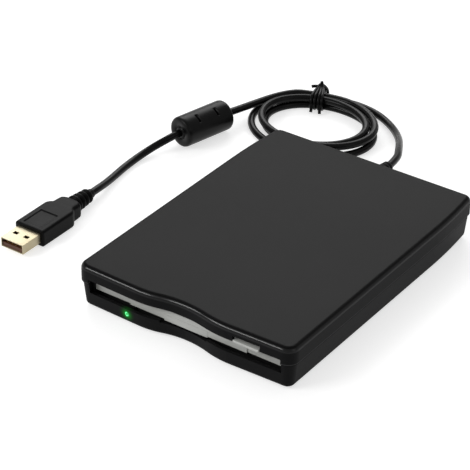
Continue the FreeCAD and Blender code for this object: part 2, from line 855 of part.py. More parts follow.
def spindle_hub():
    """Magnetised hub plate that grips the disk's steel centre."""
    low = V(0, spindle_y, rotor_top)
    high = V(0, spindle_y, rotor_top + hub_thickness)
    plate = tube(hub_radius, shaft_radius, low, high)
    pin_at = V(drive_pin_circle, spindle_y, rotor_top)
    return plate.cut(rod(drive_pin_radius, pin_at, pin_at + V(0, 0, hub_thickness + 1)))


def spindle_shaft():
    """Spindle shaft with a rounded tip that centres the disk."""
    shaft = rod(shaft_radius, V(0, spindle_y, board_bottom + board_thickness + 0.1),
                V(0, spindle_y, shaft_top))
    return shaft.makeFillet(0.5, rim_edges(shaft, shaft_top))


def drive_pin():
    """Pin that turns the disk by the hole beside its centre."""
    start = V(drive_pin_circle, spindle_y, rotor_top)
    return rod(drive_pin_radius, start, start + V(0, 0, hub_thickness + 1.1))


# Heads

def head_carriage():
    """Moulded carriage: deck, bush on the guide rod, arm ears and screw follower."""
    front = head_y - deck_front
    rear = head_y + deck_rear
    top = deck_bottom + deck_thickness
    deck = box(-7.0, 7.0, front, rear, deck_bottom, top)
    bush_front = head_y + 1.0
    bush = box(rod_x - 2.0, rod_x + 2.0, bush_front, bush_front + 11.0, rod_z - 0.95, rod_z + 0.95)
    web = box(rod_x, -6.0, bush_front, bush_front + 11.0, deck_bottom + 0.1, rod_z + 0.75)
    pivot = arm_pivot()
    pieces = [deck, bush, web]
    for side in (-1, 1):
        inner = side * (arm_half + 0.2)
        outer = side * 7.0
        pieces.append(box(min(inner, outer), max(inner, outer), pivot.y - 2.0, pivot.y + 2.0, top - 0.2,
                          pivot.z + 1.4))
    reach = screw_x - screw_radius - fit - 0.05
    pieces.append(box(6.5, reach, rear - 1.6, rear, top - 0.6, screw_z + 0.4))
    carriage = fuse(pieces)
    bore_start = V(rod_x, bush_front - 1, rod_z)
    carriage = carriage.cut(rod(rod_radius + fit, bore_start, bore_start + V(0, 14, 0)))
    pin_hole = rod(arm_pin_radius, V(-8, pivot.y, pivot.z), V(8, pivot.y, pivot.z))
    return carriage.cut(pin_hole)


def arm_pivot():
    """Middle of the upper arm's hinge pin."""
    return V(0, head_y + arm_pivot_back, arm_pivot_z)


def lower_head():
    """Lower read head on its pedestal."""
    base = deck_bottom + deck_thickness
    pedestal = box(-2.2, 2.2, head_y - 2.2, head_y + 2.2, base, base + 0.8)
    slider = box(-head_half, head_half, head_y - head_half, head_y + head_half, base + 0.8, head_top)
    return slider.fuse(pedestal)


def lifted(shape):
    """Turns a piece of the upper arm from its working place up to its rest place."""
    pivot = arm_pivot()
    shape.rotate(pivot, V(1, 0, 0), -arm_lift)
    return shape


def upper_arm():
    """Upper head arm, raised while there is no disk."""
    pivot = arm_pivot()
    low = holder_bottom + holder_inside - lift_travel + 0.2
    bar = box(-arm_half, arm_half, head_y - 2.2, pivot.y, low, low + arm_thickness)
    barrel = rod(1.2, V(-arm_half, pivot.y, pivot.z), V(arm_half, pivot.y, pivot.z))
    arm = fuse([bar, barrel])
    arm = arm.cut(rod(arm_pin_radius + fit, V(-arm_half - 1, pivot.y, pivot.z),
                      V(arm_half + 1, pivot.y, pivot.z)))
    return lifted(arm)


def upper_head():
    """Upper read head under the tip of its arm."""
    low = holder_bottom + holder_inside - lift_travel + 0.2
    slider = box(-head_half, head_half, head_y - head_half, head_y + head_half, head_top + 0.25, low)
    return lifted(slider)


def arm_pin():
    """Steel pin through the carriage's ears."""
    pivot = arm_pivot()
    return rod(arm_pin_radius, V(-7.0, pivot.y, pivot.z), V(7.0, pivot.y, pivot.z))


def guide_rod():
    """Polished rod that the carriage slides on, between two clips."""
    return rod(rod_radius, V(rod_x, rod_front(), rod_z), V(rod_x, rod_rear(), rod_z))


def rod_front():
    """Front end of the guide rod."""
    return board_rear + 0.4


def rod_rear():
    """Rear end of the guide rod."""
    return chassis_rear - 2.0


def rod_clips():
    """Two small blocks on the chassis that hold the guide rod's ends."""
    clips = []
    for y in (rod_front(), rod_rear() - 1.6):
        clip = box(rod_x - 1.6, rod_x + 1.6, y, y + 1.6, chassis_bottom + sheet, rod_z + 1.0)
        clips.append(clip.cut(rod(rod_radius, V(rod_x, y - 1, rod_z), V(rod_x, y + 3, rod_z))))
    return solids(clips)


def lead_screw():
    """Steel screw on the stepper's shaft, with a shallow thread."""
    start = V(screw_x, screw_front, screw_z)
    end = V(screw_x, motor_front - 0.2, screw_z)
    core = rod(screw_radius - 0.15, start, V(screw_x, motor_front + 2, screw_z))
    ridges = []
    pitch = 1.5
    count = int((end.y - start.y - 1.5) / pitch)
    for index in range(count):
        at = start + V(0, 0.8 + index * pitch, 0)
        ridges.append(rod(screw_radius, at, at + V(0, 0.7, 0)))
    return fuse([core] + ridges)


def stepper_motor():
    """Small can motor lying in the chassis's rear wall."""
    start = V(screw_x, motor_front, screw_z)
    can = rod(motor_radius, start, V(screw_x, chassis_rear + 0.2, screw_z))
    can = can.makeFillet(0.5, [edge for edge in can.Edges if edge.BoundBox.YMax < motor_front + 1e-4])
    return can.cut(rod(screw_radius - 0.15 + fit, start - V(0, 1, 0), start + V(0, 2.6, 0)))


def stepper_bracket():
    """Bent plate that carries the screw's front end and the motor's face."""
    base = chassis_bottom + sheet
    left = screw_x - motor_radius - 0.2
    right = screw_x + motor_radius + 2.0
    floor = box(screw_x + screw_radius + 0.8, right, screw_front - 1.0, motor_front, base, base + 0.6)
    front = box(screw_x - 0.3, right, screw_front - 1.0, screw_front - 0.2, base, screw_z + 1.2)
    back = box(left, right, motor_front - 0.6, motor_front, base, screw_z + 2.4)
    bracket = fuse([floor, front, back])
    return bracket.cut(rod(screw_radius + 0.3, V(screw_x, motor_front - 1, screw_z),
                           V(screw_x, motor_front + 1, screw_z)))


# Sensors and electronics

def sensor_switches():
    """Three micro switches under the disk: disk in, write protect and density."""
    base = board_bottom + board_thickness
    bodies = []
    for x, offset in switch_places:
        y = front_y + offset
        body = box(x - 2.2, x + 2.2, y - 1.8, y + 1.8, base, base + 1.2)
        bore = box(x - plunger_half - fit, x + plunger_half + fit, y - plunger_half - fit,
                   y + plunger_half + fit, base, base + 2)
        bodies.append(body.cut(bore))
    return solids(bodies)


def plunger(index):
    """Spring-loaded pin of one micro switch."""
    x, offset = switch_places[index]
    y = front_y + offset
    base = board_bottom + board_thickness + plunger_travel + 0.05
    pin = box(x - plunger_half, x + plunger_half, y - plunger_half, y + plunger_half, base, plunger_top)
    return pin.makeChamfer(0.25, rim_edges(pin, plunger_top))


def track_sensor():
    """Slotted light gate beside the carriage that finds the outermost track."""
    base = chassis_bottom + sheet
    y = head_y + 13.3
    body = box(-13.0, -9.0, y, y + 4.0, base, base + 3.4)
    return body.cut(box(-11.7, -10.3, y - 1, y + 5, base + 1.2, base + 4))


def main_board():
    """Green board at the left rear of the drive with its controller chip."""
    base = chassis_bottom + sheet + 0.6
    y0 = board_rear + 2
    return box(-41.4, -21.5, y0, chassis_rear - 2, base, base + 0.8)


def main_board_parts():
    """Standoffs, chips and a connector of the main board."""
    base = chassis_bottom + sheet
    top = base + 1.4
    y0 = board_rear + 2
    pieces = []
    for x in (-39.8, -23.2):
        for y in (y0 + 4, chassis_rear - 5):
            pieces.append(rod(1.2, V(x, y, base), V(x, y, base + 0.6)))
    pieces.append(box(-37.0, -28.0, y0 + 24, y0 + 33, top, top + 1.4))
    pieces.append(box(-36.0, -27.0, y0 + 4, y0 + 10, top, top + 0.3))
    pieces.append(box(-34.0, -27.0, chassis_rear - 6.5, chassis_rear - 3, top, top + 2.2))
    return solids(pieces)


def usb_board():
    """Long narrow board behind the drive that talks to the computer."""
    return box(-usb_board_half, usb_board_half, usb_board_y - usb_board_depth / 2,
               usb_board_y + usb_board_depth / 2, usb_board_z, usb_board_z + usb_board_thickness)


def usb_board_parts():
    """Controller, crystal, capacitor and lead connector on the rear board."""
    top = usb_board_z + usb_board_thickness
    y0 = usb_board_y - 2.4
    y1 = usb_board_y + 2.4
    chip = box(-14.0, -7.0, y0, y1, top, top + 1.4)
    crystal = box(-25.0, -16.0, usb_board_y - 1.6, usb_board_y + 1.6, top, top + 2.8)
    connector = box(lead_exit_x - 5, lead_exit_x + 5, y0, usb_board_y + 0.6, top, top + 3.0)
    capacitor = rod(2.0, V(18.0, usb_board_y, top), V(18.0, usb_board_y, top + 4.5))
    return solids([chip, crystal, connector, capacitor])


def flat_flex():
    """Ribbon between the drive and the rear board."""
    start = chassis_rear - 3
    over = chassis_rear + 0.6
    top = chassis_bottom + sheet + 1.4 + 2.2
    width0 = -33.4
    width1 = -27.6
    run = box(width0, width1, start - 2.4, over, top, top + 0.2)
    fall = box(width0, width1, over - 0.2, over, usb_board_z + usb_board_thickness, top + 0.2)
    foot = box(width0, width1, over - 0.2, usb_board_y - 1.0, usb_board_z + usb_board_thickness,
               usb_board_z + usb_board_thickness + 0.2)
    return fuse([run, fall, foot])


# Lead

def boot():
    """Ribbed strain relief with a neck in the case wall and a flange inside."""
    wall_out = case_depth / 2
    wall_in = wall_out - lower_step - wall
    x = lead_exit_x
    z = parting_z
    flange_piece = rod(boot_radius - 0.3, V(x, wall_in - 1.9, z), V(x, wall_in - 0.7, z))
    neck = rod(boot_neck, V(x, wall_in - 1.9, z), V(x, wall_out + 0.15, z))
    body = Part.makeCone(boot_radius, boot_tip_radius, boot_length, V(x, wall_out + 0.15, z), V(0, 1, 0))
    relief = fuse([flange_piece, neck, body])
    count = 4
    for index in range(count):
        y = wall_out + 2.4 + index * 2.0
        for side in (-1, 1):
            gap = box(x + side * 4.6 - 3.6, x + side * 4.6 + 3.6, y, y + 0.9, z - 5, z + 5)
            relief = relief.cut(gap)
    return relief


def inner_lead():
    """Short stretch of the lead from the boot down to its connector."""
    x = lead_exit_x
    top = usb_board_z + usb_board_thickness + 3.0
    start = V(x, case_depth / 2 - lower_step - wall - 1.9, parting_z)
    down = V(x, usb_board_y - 0.9, parting_z)
    end = V(x, usb_board_y - 0.9, top)
    return cord_tube([start, down, end], 1.2, "inner lead")


def rounded_path(points, name):
    """Straight runs joined by tangent arcs; prints the tightest arc."""
    edges = []
    start = points[0]
    radii = []
    for before, corner, after in zip(points, points[1:], points[2:]):
        into = corner - before
        out = after - corner
        shorter = min(into.Length, out.Length)
        turn = into.getAngle(out)
        reach = 0.45 * shorter
        radius = reach / math.tan(turn / 2)
        radii.append(radius)
        into.normalize()
        out.normalize()
        first = corner - into * reach
        last = corner + out * reach
        inward = out - into
        inward.normalize()
        sag = radius / math.cos(turn / 2) - radius
        edges.append(Part.LineSegment(start, first).toShape())
        edges.append(Part.Arc(first, corner + inward * sag, last).toShape())
        start = last
    edges.append(Part.LineSegment(start, points[-1]).toShape())
    print(name, "radii", [round(radius, 1) for radius in radii])
    return Part.Wire(edges)


def cord_tube(points, radius, name):
    """Round cord along a rounded path; prints its volume beside section times length."""
    path = rounded_path(points, name)
    direction = points[1] - points[0]
    section = Part.Wire(Part.Circle(points[0], direction, radius).toShape())
    solid = path.makePipeShell([section], True, False)
    print(name, "volume", round(solid.Volume, 2), "expected", round(math.pi * radius ** 2 * path.Length, 2))
    return solid


def boot_end():
    """Point where the lead comes out of the boot."""
    return V(lead_exit_x, case_depth / 2 + 0.15 + boot_length, parting_z)


def coil_inset(turns):
    """How far inside the outer turn the middle line lies: in at one rate, out at another."""
    if turns < coil_loops:
        return -coil_entry_out + (coil_innermost + coil_entry_out) * turns / coil_loops
    return coil_innermost - (coil_innermost - coil_exit_in) * (turns - coil_loops) / coil_loops


def coil_height(turns):
    """Lower layer, then a climb over half a turn where the coil reverses, then the upper layer."""
    share = min(max((turns - coil_loops) * 2 + 0.5, 0), 1)
    smooth = share * share * (3 - 2 * share)
    return cable_radius + coil_layer * smooth


def coil_point(turns):
    """Point of the coil after a number of turns from the tie."""
    angle = math.radians(coil_start) + 2 * math.pi * turns
    return V(coil_x + (coil_half_x - coil_inset(turns)) * math.cos(angle),
             coil_y + (coil_half_y - coil_inset(turns)) * math.sin(angle), coil_height(turns))


def coil_tangent(turns):
    """Direction of the coil after a number of turns."""
    step = 0.01
    tangent = coil_point(turns + step) - coil_point(turns - step)
    tangent.normalize()
    return tangent


def biarc(p0, p1, t0, t1):
    """Two tangent arcs from one point and direction to another."""
    v = p1 - p0
    t = t0 + t1
    vt = v.dot(t)
    k = 2 * (1 - t0.dot(t1))
    d = (-vt + math.sqrt(vt * vt + k * v.dot(v))) / k
    q0 = p0 + t0 * d
    q1 = p1 - t1 * d
    meeting = (q0 + q1) * 0.5

    def through(start, corner, end):
        chord = (start + end) * 0.5
        bend = (corner - start).getAngle(end - corner)
        height = (end - start).Length / 2 * math.tan(bend / 4)
        out = corner - chord
        out.normalize()
        return Part.Arc(start, chord + out * height, end).toShape()

    return [through(p0, q0, meeting), through(meeting, q1, p1)]


def cable_coil():
    """Coil of three loose turns: one unbroken tube, in on the table and out on top."""
    step = 0.125
    count = round(2 * coil_loops / step)
    points = [coil_point(index * step) for index in range(count + 1)]
    tangents = [coil_tangent(index * step) for index in range(count + 1)]
    start_run = points[0] - tangents[0] * (2 * cable_radius)
    end_run = points[-1] + tangents[-1] * (2 * cable_radius)
    edges = [Part.LineSegment(start_run, points[0]).toShape()]
    for index in range(len(points) - 1):
        edges += biarc(points[index], points[index + 1], tangents[index], tangents[index + 1])
    edges.append(Part.LineSegment(points[-1], end_run).toShape())
    path = Part.Wire(edges)
    section = Part.Wire(Part.Circle(start_run, tangents[0], cable_radius).toShape())
    coil = path.makePipeShell([section], True, False)
    print("coil volume", round(coil.Volume, 1), "expected",
          round(math.pi * cable_radius ** 2 * path.Length, 1), "length", round(path.Length, 1))
    print("coil least gap", round(least_gap(path), 2))
    return coil, start_run, end_run


def least_gap(path):
    """Smallest gap of a tube to itself, measured on points along its middle line."""
    points = path.discretize(240)
    spacing = path.Length / 239
    skip = int(math.pi * cable_radius * 3 / spacing) + 1
    best = 1e9
    for index, point in enumerate(points):
        for other in points[index + skip:]:
            best = min(best, (other - point).Length)
    return best - 2 * cable_radius


def lead_route(coil_entry):
    """Lead from the boot down to the table and round to the coil; points chosen by hand."""
    return [
        boot_end(),
        V(0.6, 91.0, 12.0),
        V(-4.4, 100.5, 10.3),
        V(-10.6, 111.5, 7.2),
        V(-18.0, 121.8, 3.9),
        V(-26.2, 130.0, 2.1),
        V(-36.0, 135.8, 1.75),
        V(-46.5, 138.3, 1.75),
        V(-56.2, 137.9, 1.75),
        coil_entry,
    ]


def mid_route(coil_exit):
    """From the coil's top turn to the rear of the ferrite bead."""
    return [
        coil_exit,
        V(-74.6, 126.9, 5.8),
        V(-78.9, 122.9, 5.7),
        V(-82.4, 117.6, 5.5),
        V(-85.2, 111.2, 5.3),
        V(-86.9, 104.4, 5.6),
        V(-87.9, 97.4, 6.4),
        V(-88.6, 91.4, 7.2),
        bead_end(1),
    ]


def tail_route():
    """From the front of the bead to the plug's collar."""
    return [
        bead_end(-1),
        V(-98.6, 51.2, 6.4),
        V(-101.6, 46.8, 4.2),
        V(-103.6, 41.2, 2.5),
        V(-104.2, 34.0, 1.75),
        V(-103.6, 25.4, 1.75),
        V(-102.2, 16.6, 1.95),
        V(-100.6, 8.4, 2.8),
        V(-99.5, 2.4, 3.8),
        V(plug_x, collar_end, plug_z),
    ]


def bead_end(side):
    """Middle of one end of the ferrite bead: +1 rear, -1 front."""
    return bead_rear if side > 0 else bead_front


def ferrite_bead():
    """Black moulded bead on the lead with rounded ends."""
    bead = rod(bead_radius, bead_front, bead_rear)
    ends = [edge for edge in bead.Edges if edge.Curve.TypeId == "Part::GeomCircle"]
    return bead.makeFillet(1.2, ends)


def cable_tie():
    """Tie over the coil where the lead enters it, with a leg on each side of the bundle."""
    angle = math.radians(coil_start)
    room = cable_radius + tie_room
    near_x = coil_half_x - coil_innermost - room
    near_y = coil_half_y - coil_innermost - room
    far_x = coil_half_x + coil_entry_out + room
    far_y = coil_half_y + coil_entry_out + room
    near = V(coil_x + near_x * math.cos(angle), coil_y + near_y * math.sin(angle), 0)
    far = V(coil_x + far_x * math.cos(angle), coil_y + far_y * math.sin(angle), 0)
    out = far - near
    out.normalize()
    along = V(-out.y, out.x, 0) * (tie_width / 2)
    low = 0.05
    high = 2 * cable_radius + coil_layer + tie_room / 2

    def slab(a, b, z0, z1):
        corners = [a + along, b + along, b - along, a - along, a + along]
        piece = Part.Face(Part.makePolygon(corners)).extrude(V(0, 0, z1 - z0))
        piece.translate(V(0, 0, z0))
        return piece

    top = slab(near, far, high, high + tie_thickness)
    inner_leg = slab(near, near + out * tie_thickness, low, high + tie_thickness)
    outer_leg = slab(far - out * tie_thickness, far, low, high + tie_thickness)
    return fuse([top, inner_leg, outer_leg])


# Plug

def usb_grip():
    """Moulded grip of the plug: wide body, shoulder and ringed collar."""
    half = grip_width / 2
    x = plug_x
    points = [
        V(x - half, plug_face, plug_z - grip_height / 2),
        V(x + half, plug_face, plug_z - grip_height / 2),
        V(x + half, grip_shoulder, plug_z - grip_height / 2),
        V(x + half - 2.2, grip_rear, plug_z - grip_height / 2),
        V(x - half + 2.2, grip_rear, plug_z - grip_height / 2),
        V(x - half, grip_shoulder, plug_z - grip_height / 2),
        V(x - half, plug_face, plug_z - grip_height / 2),
    ]
    body = Part.Face(Part.makePolygon(points)).extrude(V(0, 0, grip_height))
    body = body.makeFillet(1.3, body.Edges)
    collar = Part.makeCone(collar_radius - 0.6, collar_tip - 0.6, collar_end - grip_rear + 0.6,
                           V(x, grip_rear - 0.6, plug_z), V(0, 1, 0))
    pieces = [body, collar]
    step = (collar_end - grip_rear) / ring_count
    for index in range(ring_count):
        radius = collar_radius + (collar_tip - collar_radius) * index / (ring_count - 1)
        start = V(x, grip_rear + index * step + step * 0.45, plug_z)
        pieces.append(rod(radius, start, start + V(0, step * 0.55, 0)))
    grip = fuse(pieces)
    return grip


def usb_shell():
    """Folded metal sleeve of the plug with two latch windows in its top."""
    half = plug_shell_width / 2
    high = plug_shell_height / 2
    outer = box(plug_x - half, plug_x + half, plug_tip, plug_face, plug_z - high, plug_z + high)
    inner = box(plug_x - half + plug_sheet, plug_x + half - plug_sheet, plug_tip - 1, plug_face + 1,
                plug_z - high + plug_sheet, plug_z + high - plug_sheet)
    shell = outer.cut(inner)
    window = 1.25
    for side in (-1, 1):
        x = plug_x + side * 2.9
        y = plug_tip + 5.2
        shell = shell.cut(box(x - window, x + window, y, y + 2.0, plug_z, plug_z + high + 1))
    return shell


def usb_tongue():
    """Plastic tongue that carries the plug's contacts."""
    half = plug_shell_width / 2 - plug_sheet - 0.1
    high = plug_shell_height / 2 - plug_sheet - 0.02
    return box(plug_x - half, plug_x + half, plug_tip + 0.5, plug_face, plug_z - high, plug_z - 0.1)


def usb_contacts():
    """Four gold-plated strips on the tongue."""
    strips = []
    for place in (-3.5, -1.0, 1.0, 3.5):
        x = plug_x + place
        strips.append(box(x - 0.5, x + 0.5, plug_tip + 1.4, plug_face - 0.2, plug_z - 0.1, plug_z + 0.1))
    return solids(strips)


save(top_cover(), "top_cover")
save(bottom_case(), "bottom_case")
save(rubber_feet(), "rubber_feet")
save(case_screws(), "case_screws")
save(drive_screws(), "drive_screws")
save(chassis(), "drive_chassis")
save(drive_lid(), "drive_lid")
save(drive_bezel(), "drive_bezel")
save(dust_door(), "dust_door")
save(door_spring(), "door_spring")
save(status_light(), "status_light")
save(status_lamp(), "status_lamp")
save(disk_holder(), "disk_holder")
save(shutter_lever(), "shutter_lever")
save(eject_plate(), "eject_plate")
save(eject_button(), "eject_button")
save(eject_springs(), "eject_springs")
save(motor_board(), "motor_board")
save(board_parts(), "motor_board_parts")
save(bearing_housing(), "spindle_bearing")
save(stator(), "stator_core")
save(stator_coils(), "stator_coils")
save(rotor_cup(), "rotor_cup")
save(rotor_magnet(), "rotor_magnet")
save(spindle_hub(), "spindle_hub")
save(spindle_shaft(), "spindle_shaft")
save(drive_pin(), "drive_pin")
save(head_carriage(), "head_carriage")
save(lower_head(), "lower_head")
save(upper_arm(), "upper_head_arm")
save(upper_head(), "upper_head")
save(arm_pin(), "arm_pin")
save(guide_rod(), "guide_rod")
save(rod_clips(), "guide_rod_clips")
save(lead_screw(), "lead_screw")
save(stepper_motor(), "stepper_motor")
save(stepper_bracket(), "stepper_bracket")
save(sensor_switches(), "sensor_switches")
save(plunger(0), "disk_in_plunger")
save(plunger(1), "write_protect_plunger")
save(plunger(2), "density_plunger")
save(track_sensor(), "track_sensor")
save(main_board(), "main_board")
save(main_board_parts(), "main_board_parts")
save(usb_board(), "usb_board")
save(usb_board_parts(), "usb_board_parts")
save(flat_flex(), "flat_flex")
save(boot(), "strain_relief")
save(inner_lead(), "inner_lead")
coil_solid, coil_in, coil_out = cable_coil()
save(coil_solid, "cable_coil")
save(cord_tube(lead_route(coil_in), cable_radius, "lead"), "cable_lead")
save(cord_tube(mid_route(coil_out), cable_radius, "mid"), "cable_mid")
save(cord_tube(tail_route(), cable_radius, "tail"), "cable_tail")
save(ferrite_bead(), "ferrite_bead")
save(cable_tie(), "cable_tie")
save(usb_grip(), "usb_grip")
save(usb_shell(), "usb_shell")
save(usb_tongue(), "usb_tongue")
save(usb_contacts(), "usb_contacts")
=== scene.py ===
# %% [markdown]
# An external floppy disk drive: a flat black case, a grey door in its slot, and a lead
# that runs through a loose coil and a bead to a flat plug. The construction comes from a
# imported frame. This lesson adds what the eye judges: finishes, light and a camera.

# %% Load the frame
import json
import math

import bmesh
import bpy
import numpy as np
from mathutils import Matrix


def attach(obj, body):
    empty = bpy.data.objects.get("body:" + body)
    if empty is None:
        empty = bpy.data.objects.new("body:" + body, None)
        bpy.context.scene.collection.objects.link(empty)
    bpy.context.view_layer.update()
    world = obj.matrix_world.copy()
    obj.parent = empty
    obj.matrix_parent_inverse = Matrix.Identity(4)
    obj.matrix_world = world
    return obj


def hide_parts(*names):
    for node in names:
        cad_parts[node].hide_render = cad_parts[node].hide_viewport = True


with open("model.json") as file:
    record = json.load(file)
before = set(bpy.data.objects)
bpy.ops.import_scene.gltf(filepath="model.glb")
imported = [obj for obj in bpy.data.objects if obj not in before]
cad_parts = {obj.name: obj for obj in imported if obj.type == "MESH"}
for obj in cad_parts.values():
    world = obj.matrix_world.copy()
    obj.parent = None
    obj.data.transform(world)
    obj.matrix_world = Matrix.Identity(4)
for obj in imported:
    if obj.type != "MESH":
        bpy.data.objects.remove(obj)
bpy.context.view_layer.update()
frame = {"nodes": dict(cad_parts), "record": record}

MM = 0.001


# %% [markdown]
# A render settles most arguments about shape only when the camera stands where the
# photographer stood. A camera could be aimed by eye, but here its direction was worked out
# from the edges of the case. The long focal length keeps those edges nearly parallel.

# %% The camera
PHOTO_PIXELS = 470
FOCAL_PIXELS = 2058.486
SENSOR_MM = 36.0
CAMERA_AT = np.array([398.9, -602.25, 472.4]) * MM
TURN = math.radians(35.057)
TILT = math.radians(32.217)
ROLL = math.radians(0.609)
NEAREST = 0.05
FARTHEST = 20.0


def camera_axes():
    """Right, up and back of the camera: a level frame turned by TURN and TILT, then rolled."""
    back = np.array([math.sin(TURN) * math.cos(TILT), -math.cos(TURN) * math.cos(TILT), math.sin(TILT)])
    level = np.array([math.cos(TURN), math.sin(TURN), 0.0])
    upright = np.cross(back, level)
    right = math.cos(ROLL) * level + math.sin(ROLL) * upright
    up = -math.sin(ROLL) * level + math.cos(ROLL) * upright
    return right, up, back


def stand(thing, right, up, back, place):
    """Puts an object's three axes and its place into one matrix."""
    matrix = np.eye(4)
    for column, values in enumerate([right, up, back, place]):
        matrix[:3, column] = values
    thing.matrix_world = Matrix(matrix.tolist())


def place_camera():
    """Camera with the photograph's lens, at the photograph's place."""
    data = bpy.data.cameras.new("photo_camera")
    data.sensor_width = SENSOR_MM
    data.lens = FOCAL_PIXELS / PHOTO_PIXELS * SENSOR_MM
    data.clip_start = NEAREST
    data.clip_end = FARTHEST
    camera = bpy.data.objects.new("photo_camera", data)
    bpy.context.scene.collection.objects.link(camera)
    stand(camera, *camera_axes(), CAMERA_AT)
    bpy.context.scene.camera = camera
    return camera


camera = place_camera()
bpy.context.view_layer.update()
print("lens", round(camera.data.lens, 2), "mm")


# %% [markdown]
# Finishes are written as sums. Nodes could be linked one by one, but a small class that
# holds one output of a shader tree and knows how to add, subtract and multiply lets a
# pattern read like the formula it is.

# %% Shader sums
class Signal:
    """One shader socket that can be used in Python arithmetic."""

    def __init__(self, finish, socket):
        self.finish = finish
        self.socket = socket

    def _sum(self, operation, first, second):
        return self.finish.node("ShaderNodeMath", {"operation": operation}, {0: first, 1: second})

    def __add__(self, other):
        return self._sum("ADD", self, other)

    def __radd__(self, other):
        return self._sum("ADD", other, self)

    def __sub__(self, other):
        return self._sum("SUBTRACT", self, other)

    def __rsub__(self, other):
        return self._sum("SUBTRACT", other, self)

    def __mul__(self, other):
        return self._sum("MULTIPLY", self, other)

    def __rmul__(self, other):
        return self._sum("MULTIPLY", other, self)

    def __pow__(self, other):
        return self._sum("POWER", self, other)


# %% [markdown]
# One more class holds a material while it is built. Everything it makes goes through one
# method that adds a node, and the other methods are the few patterns that this drive needs:
# soft noise, a clipped ramp, a zone between two heights, a blend of colours and a bump.

# %% A material under construction
MIX_SHARE, MIX_FIRST, MIX_SECOND, MIX_RESULT = 0, 6, 7, 2


class Finish:
    """A material under construction, with one way to add any node."""

    def __init__(self, name):
        self.material = bpy.data.materials.new(name)
        self.material.use_nodes = True
        self.tree = self.material.node_tree
        self.tree.nodes.clear()
        self.output = self.tree.nodes.new("ShaderNodeOutputMaterial")

    def node(self, kind, settings=None, inputs=None, out=0):
        """Adds a node: settings first, then the values or links of its sockets."""
        made = self.tree.nodes.new(kind)
        for key, value in (settings or {}).items():
            setattr(made, key, value)
        for key, value in (inputs or {}).items():
            if isinstance(value, Signal):
                self.tree.links.new(value.socket, made.inputs[key])
            else:
                made.inputs[key].default_value = value
        return Signal(self, made.outputs[out])

    def place(self):
        """Position on the piece itself, in metres."""
        return self.node("ShaderNodeTexCoord", out="Object")

    def noise(self, scale, detail=2.0, rough=0.5, stretch=None):
        """Soft random field from 0 to 1."""
        where = self.place()
        if stretch is not None:
            where = self.node("ShaderNodeMapping", {}, {"Vector": where, "Scale": stretch})
        inputs = {"Vector": where, "Scale": scale, "Detail": detail, "Roughness": rough}
        return self.node("ShaderNodeTexNoise", {}, inputs)

    def ramp(self, signal, low, high, bottom=0.0, top=1.0):
        """Takes a signal from one range to another and clips it there."""
        inputs = {0: signal, 1: low, 2: high, 3: bottom, 4: top}
        return self.node("ShaderNodeMapRange", {"clamp": True}, inputs)

    def zone(self, signal, start, full, fade, end):
        """1 from full to fade, 0 before start and after end, straight slopes between."""
        return self.ramp(signal, start, full) * self.ramp(signal, fade, end, 1.0, 0.0)

    def blend(self, share, first, second):
        """Colour between two colours."""
        inputs = {MIX_SHARE: share, MIX_FIRST: first, MIX_SECOND: second}
        return self.node("ShaderNodeMix", {"data_type": "RGBA"}, inputs, out=MIX_RESULT)

    def mottle(self, drift, first, second, low=0.3, high=0.7):
        """Slow change between two near colours, driven by a noise."""
        return self.blend(self.ramp(drift, low, high), first, second)

    def bump(self, height, strength, distance):
        """Normal pushed about by a height field, over a distance in metres."""
        inputs = {"Height": height, "Strength": strength, "Distance": distance}
        return self.node("ShaderNodeBump", {}, inputs)

    def surface(self, sockets):
        """Ends the material in a Principled shader with these sockets."""
        shader = self.node("ShaderNodeBsdfPrincipled", {}, sockets)
        self.tree.links.new(shader.socket, self.output.inputs["Surface"])
        return self.material


# %% [markdown]
# Shaders count light, while a colour picker counts what the eye sees. Colours are therefore
# written in the eye's levels, from 0 to 255, and turned into light here.

# %% Colours
BLACK = (0.0, 0.0, 0.0, 1.0)


def grey(level):
    """Linear colour of one sRGB grey level out of 255."""
    share = level / 255
    linear = share / 12.92 if share <= 0.04045 else ((share + 0.055) / 1.055) ** 2.4
    return (linear, linear, linear, 1.0)


def tint(red, green, blue):
    """Linear colour of an sRGB triple out of 255."""
    return (grey(red)[0], grey(green)[0], grey(blue)[0], 1.0)


# %% [markdown]
# The case is black plastic with a fine spark-eroded texture, whose tiny pits spread the light.
# Its light and shade are partly painted: the flat top is painted a lighter grey than the sides,
# and a painted dark line of shade runs just below it. The mould was polished on the rim below
# that line, so a glossy band there catches the lamp in front. The two shells meet in a painted
# shadow line with a painted pale highlight on the lip over it. Height alone tells all of these
# apart, so the zones are heights on the piece and need no image mask.

# %% Case plastic
TOP_Z = 20.4 * MM
PARTING_Z = 12.5 * MM
# Painted light: from this depth up, the flat top is painted a lighter grey than the sides.
PAINTED_LIGHT_TOP_BELOW = (0.05, 0.01)
# Painted shade: from these depths up to the flat top, the rim gets a painted dark line.
PAINTED_DARK_RIM_BELOW = (1.2, 0.6)
BAND_BELOW = (2.3, 1.7, 0.7, 0.4)
# Painted shadow: a near-black line where the shells meet, in millimetres about the parting.
SEAM_SHADOW_ABOVE = (-0.5, -0.3, 0.1, 0.25)
# Painted highlight: a pale band on the lip just above the parting.
LIP_HIGHLIGHT_ABOVE = (0.15, 0.3, 0.4, 0.6)
LAMP_AT = (-27.5 * MM, -69.8 * MM, 5.2 * MM)
# Reach and fade of the painted green glow on the lower shell.
PAINTED_GLOW_REACH = 5.2 * MM
PAINTED_GLOW_FADE = 4.0


def below_top(depths):
    """Heights that lie these millimetres under the flat top."""
    return [TOP_Z - depth * MM for depth in depths]


def above_parting(heights):
    """Heights that lie these millimetres over the line where the shells meet."""
    return [PARTING_Z + height * MM for height in heights]


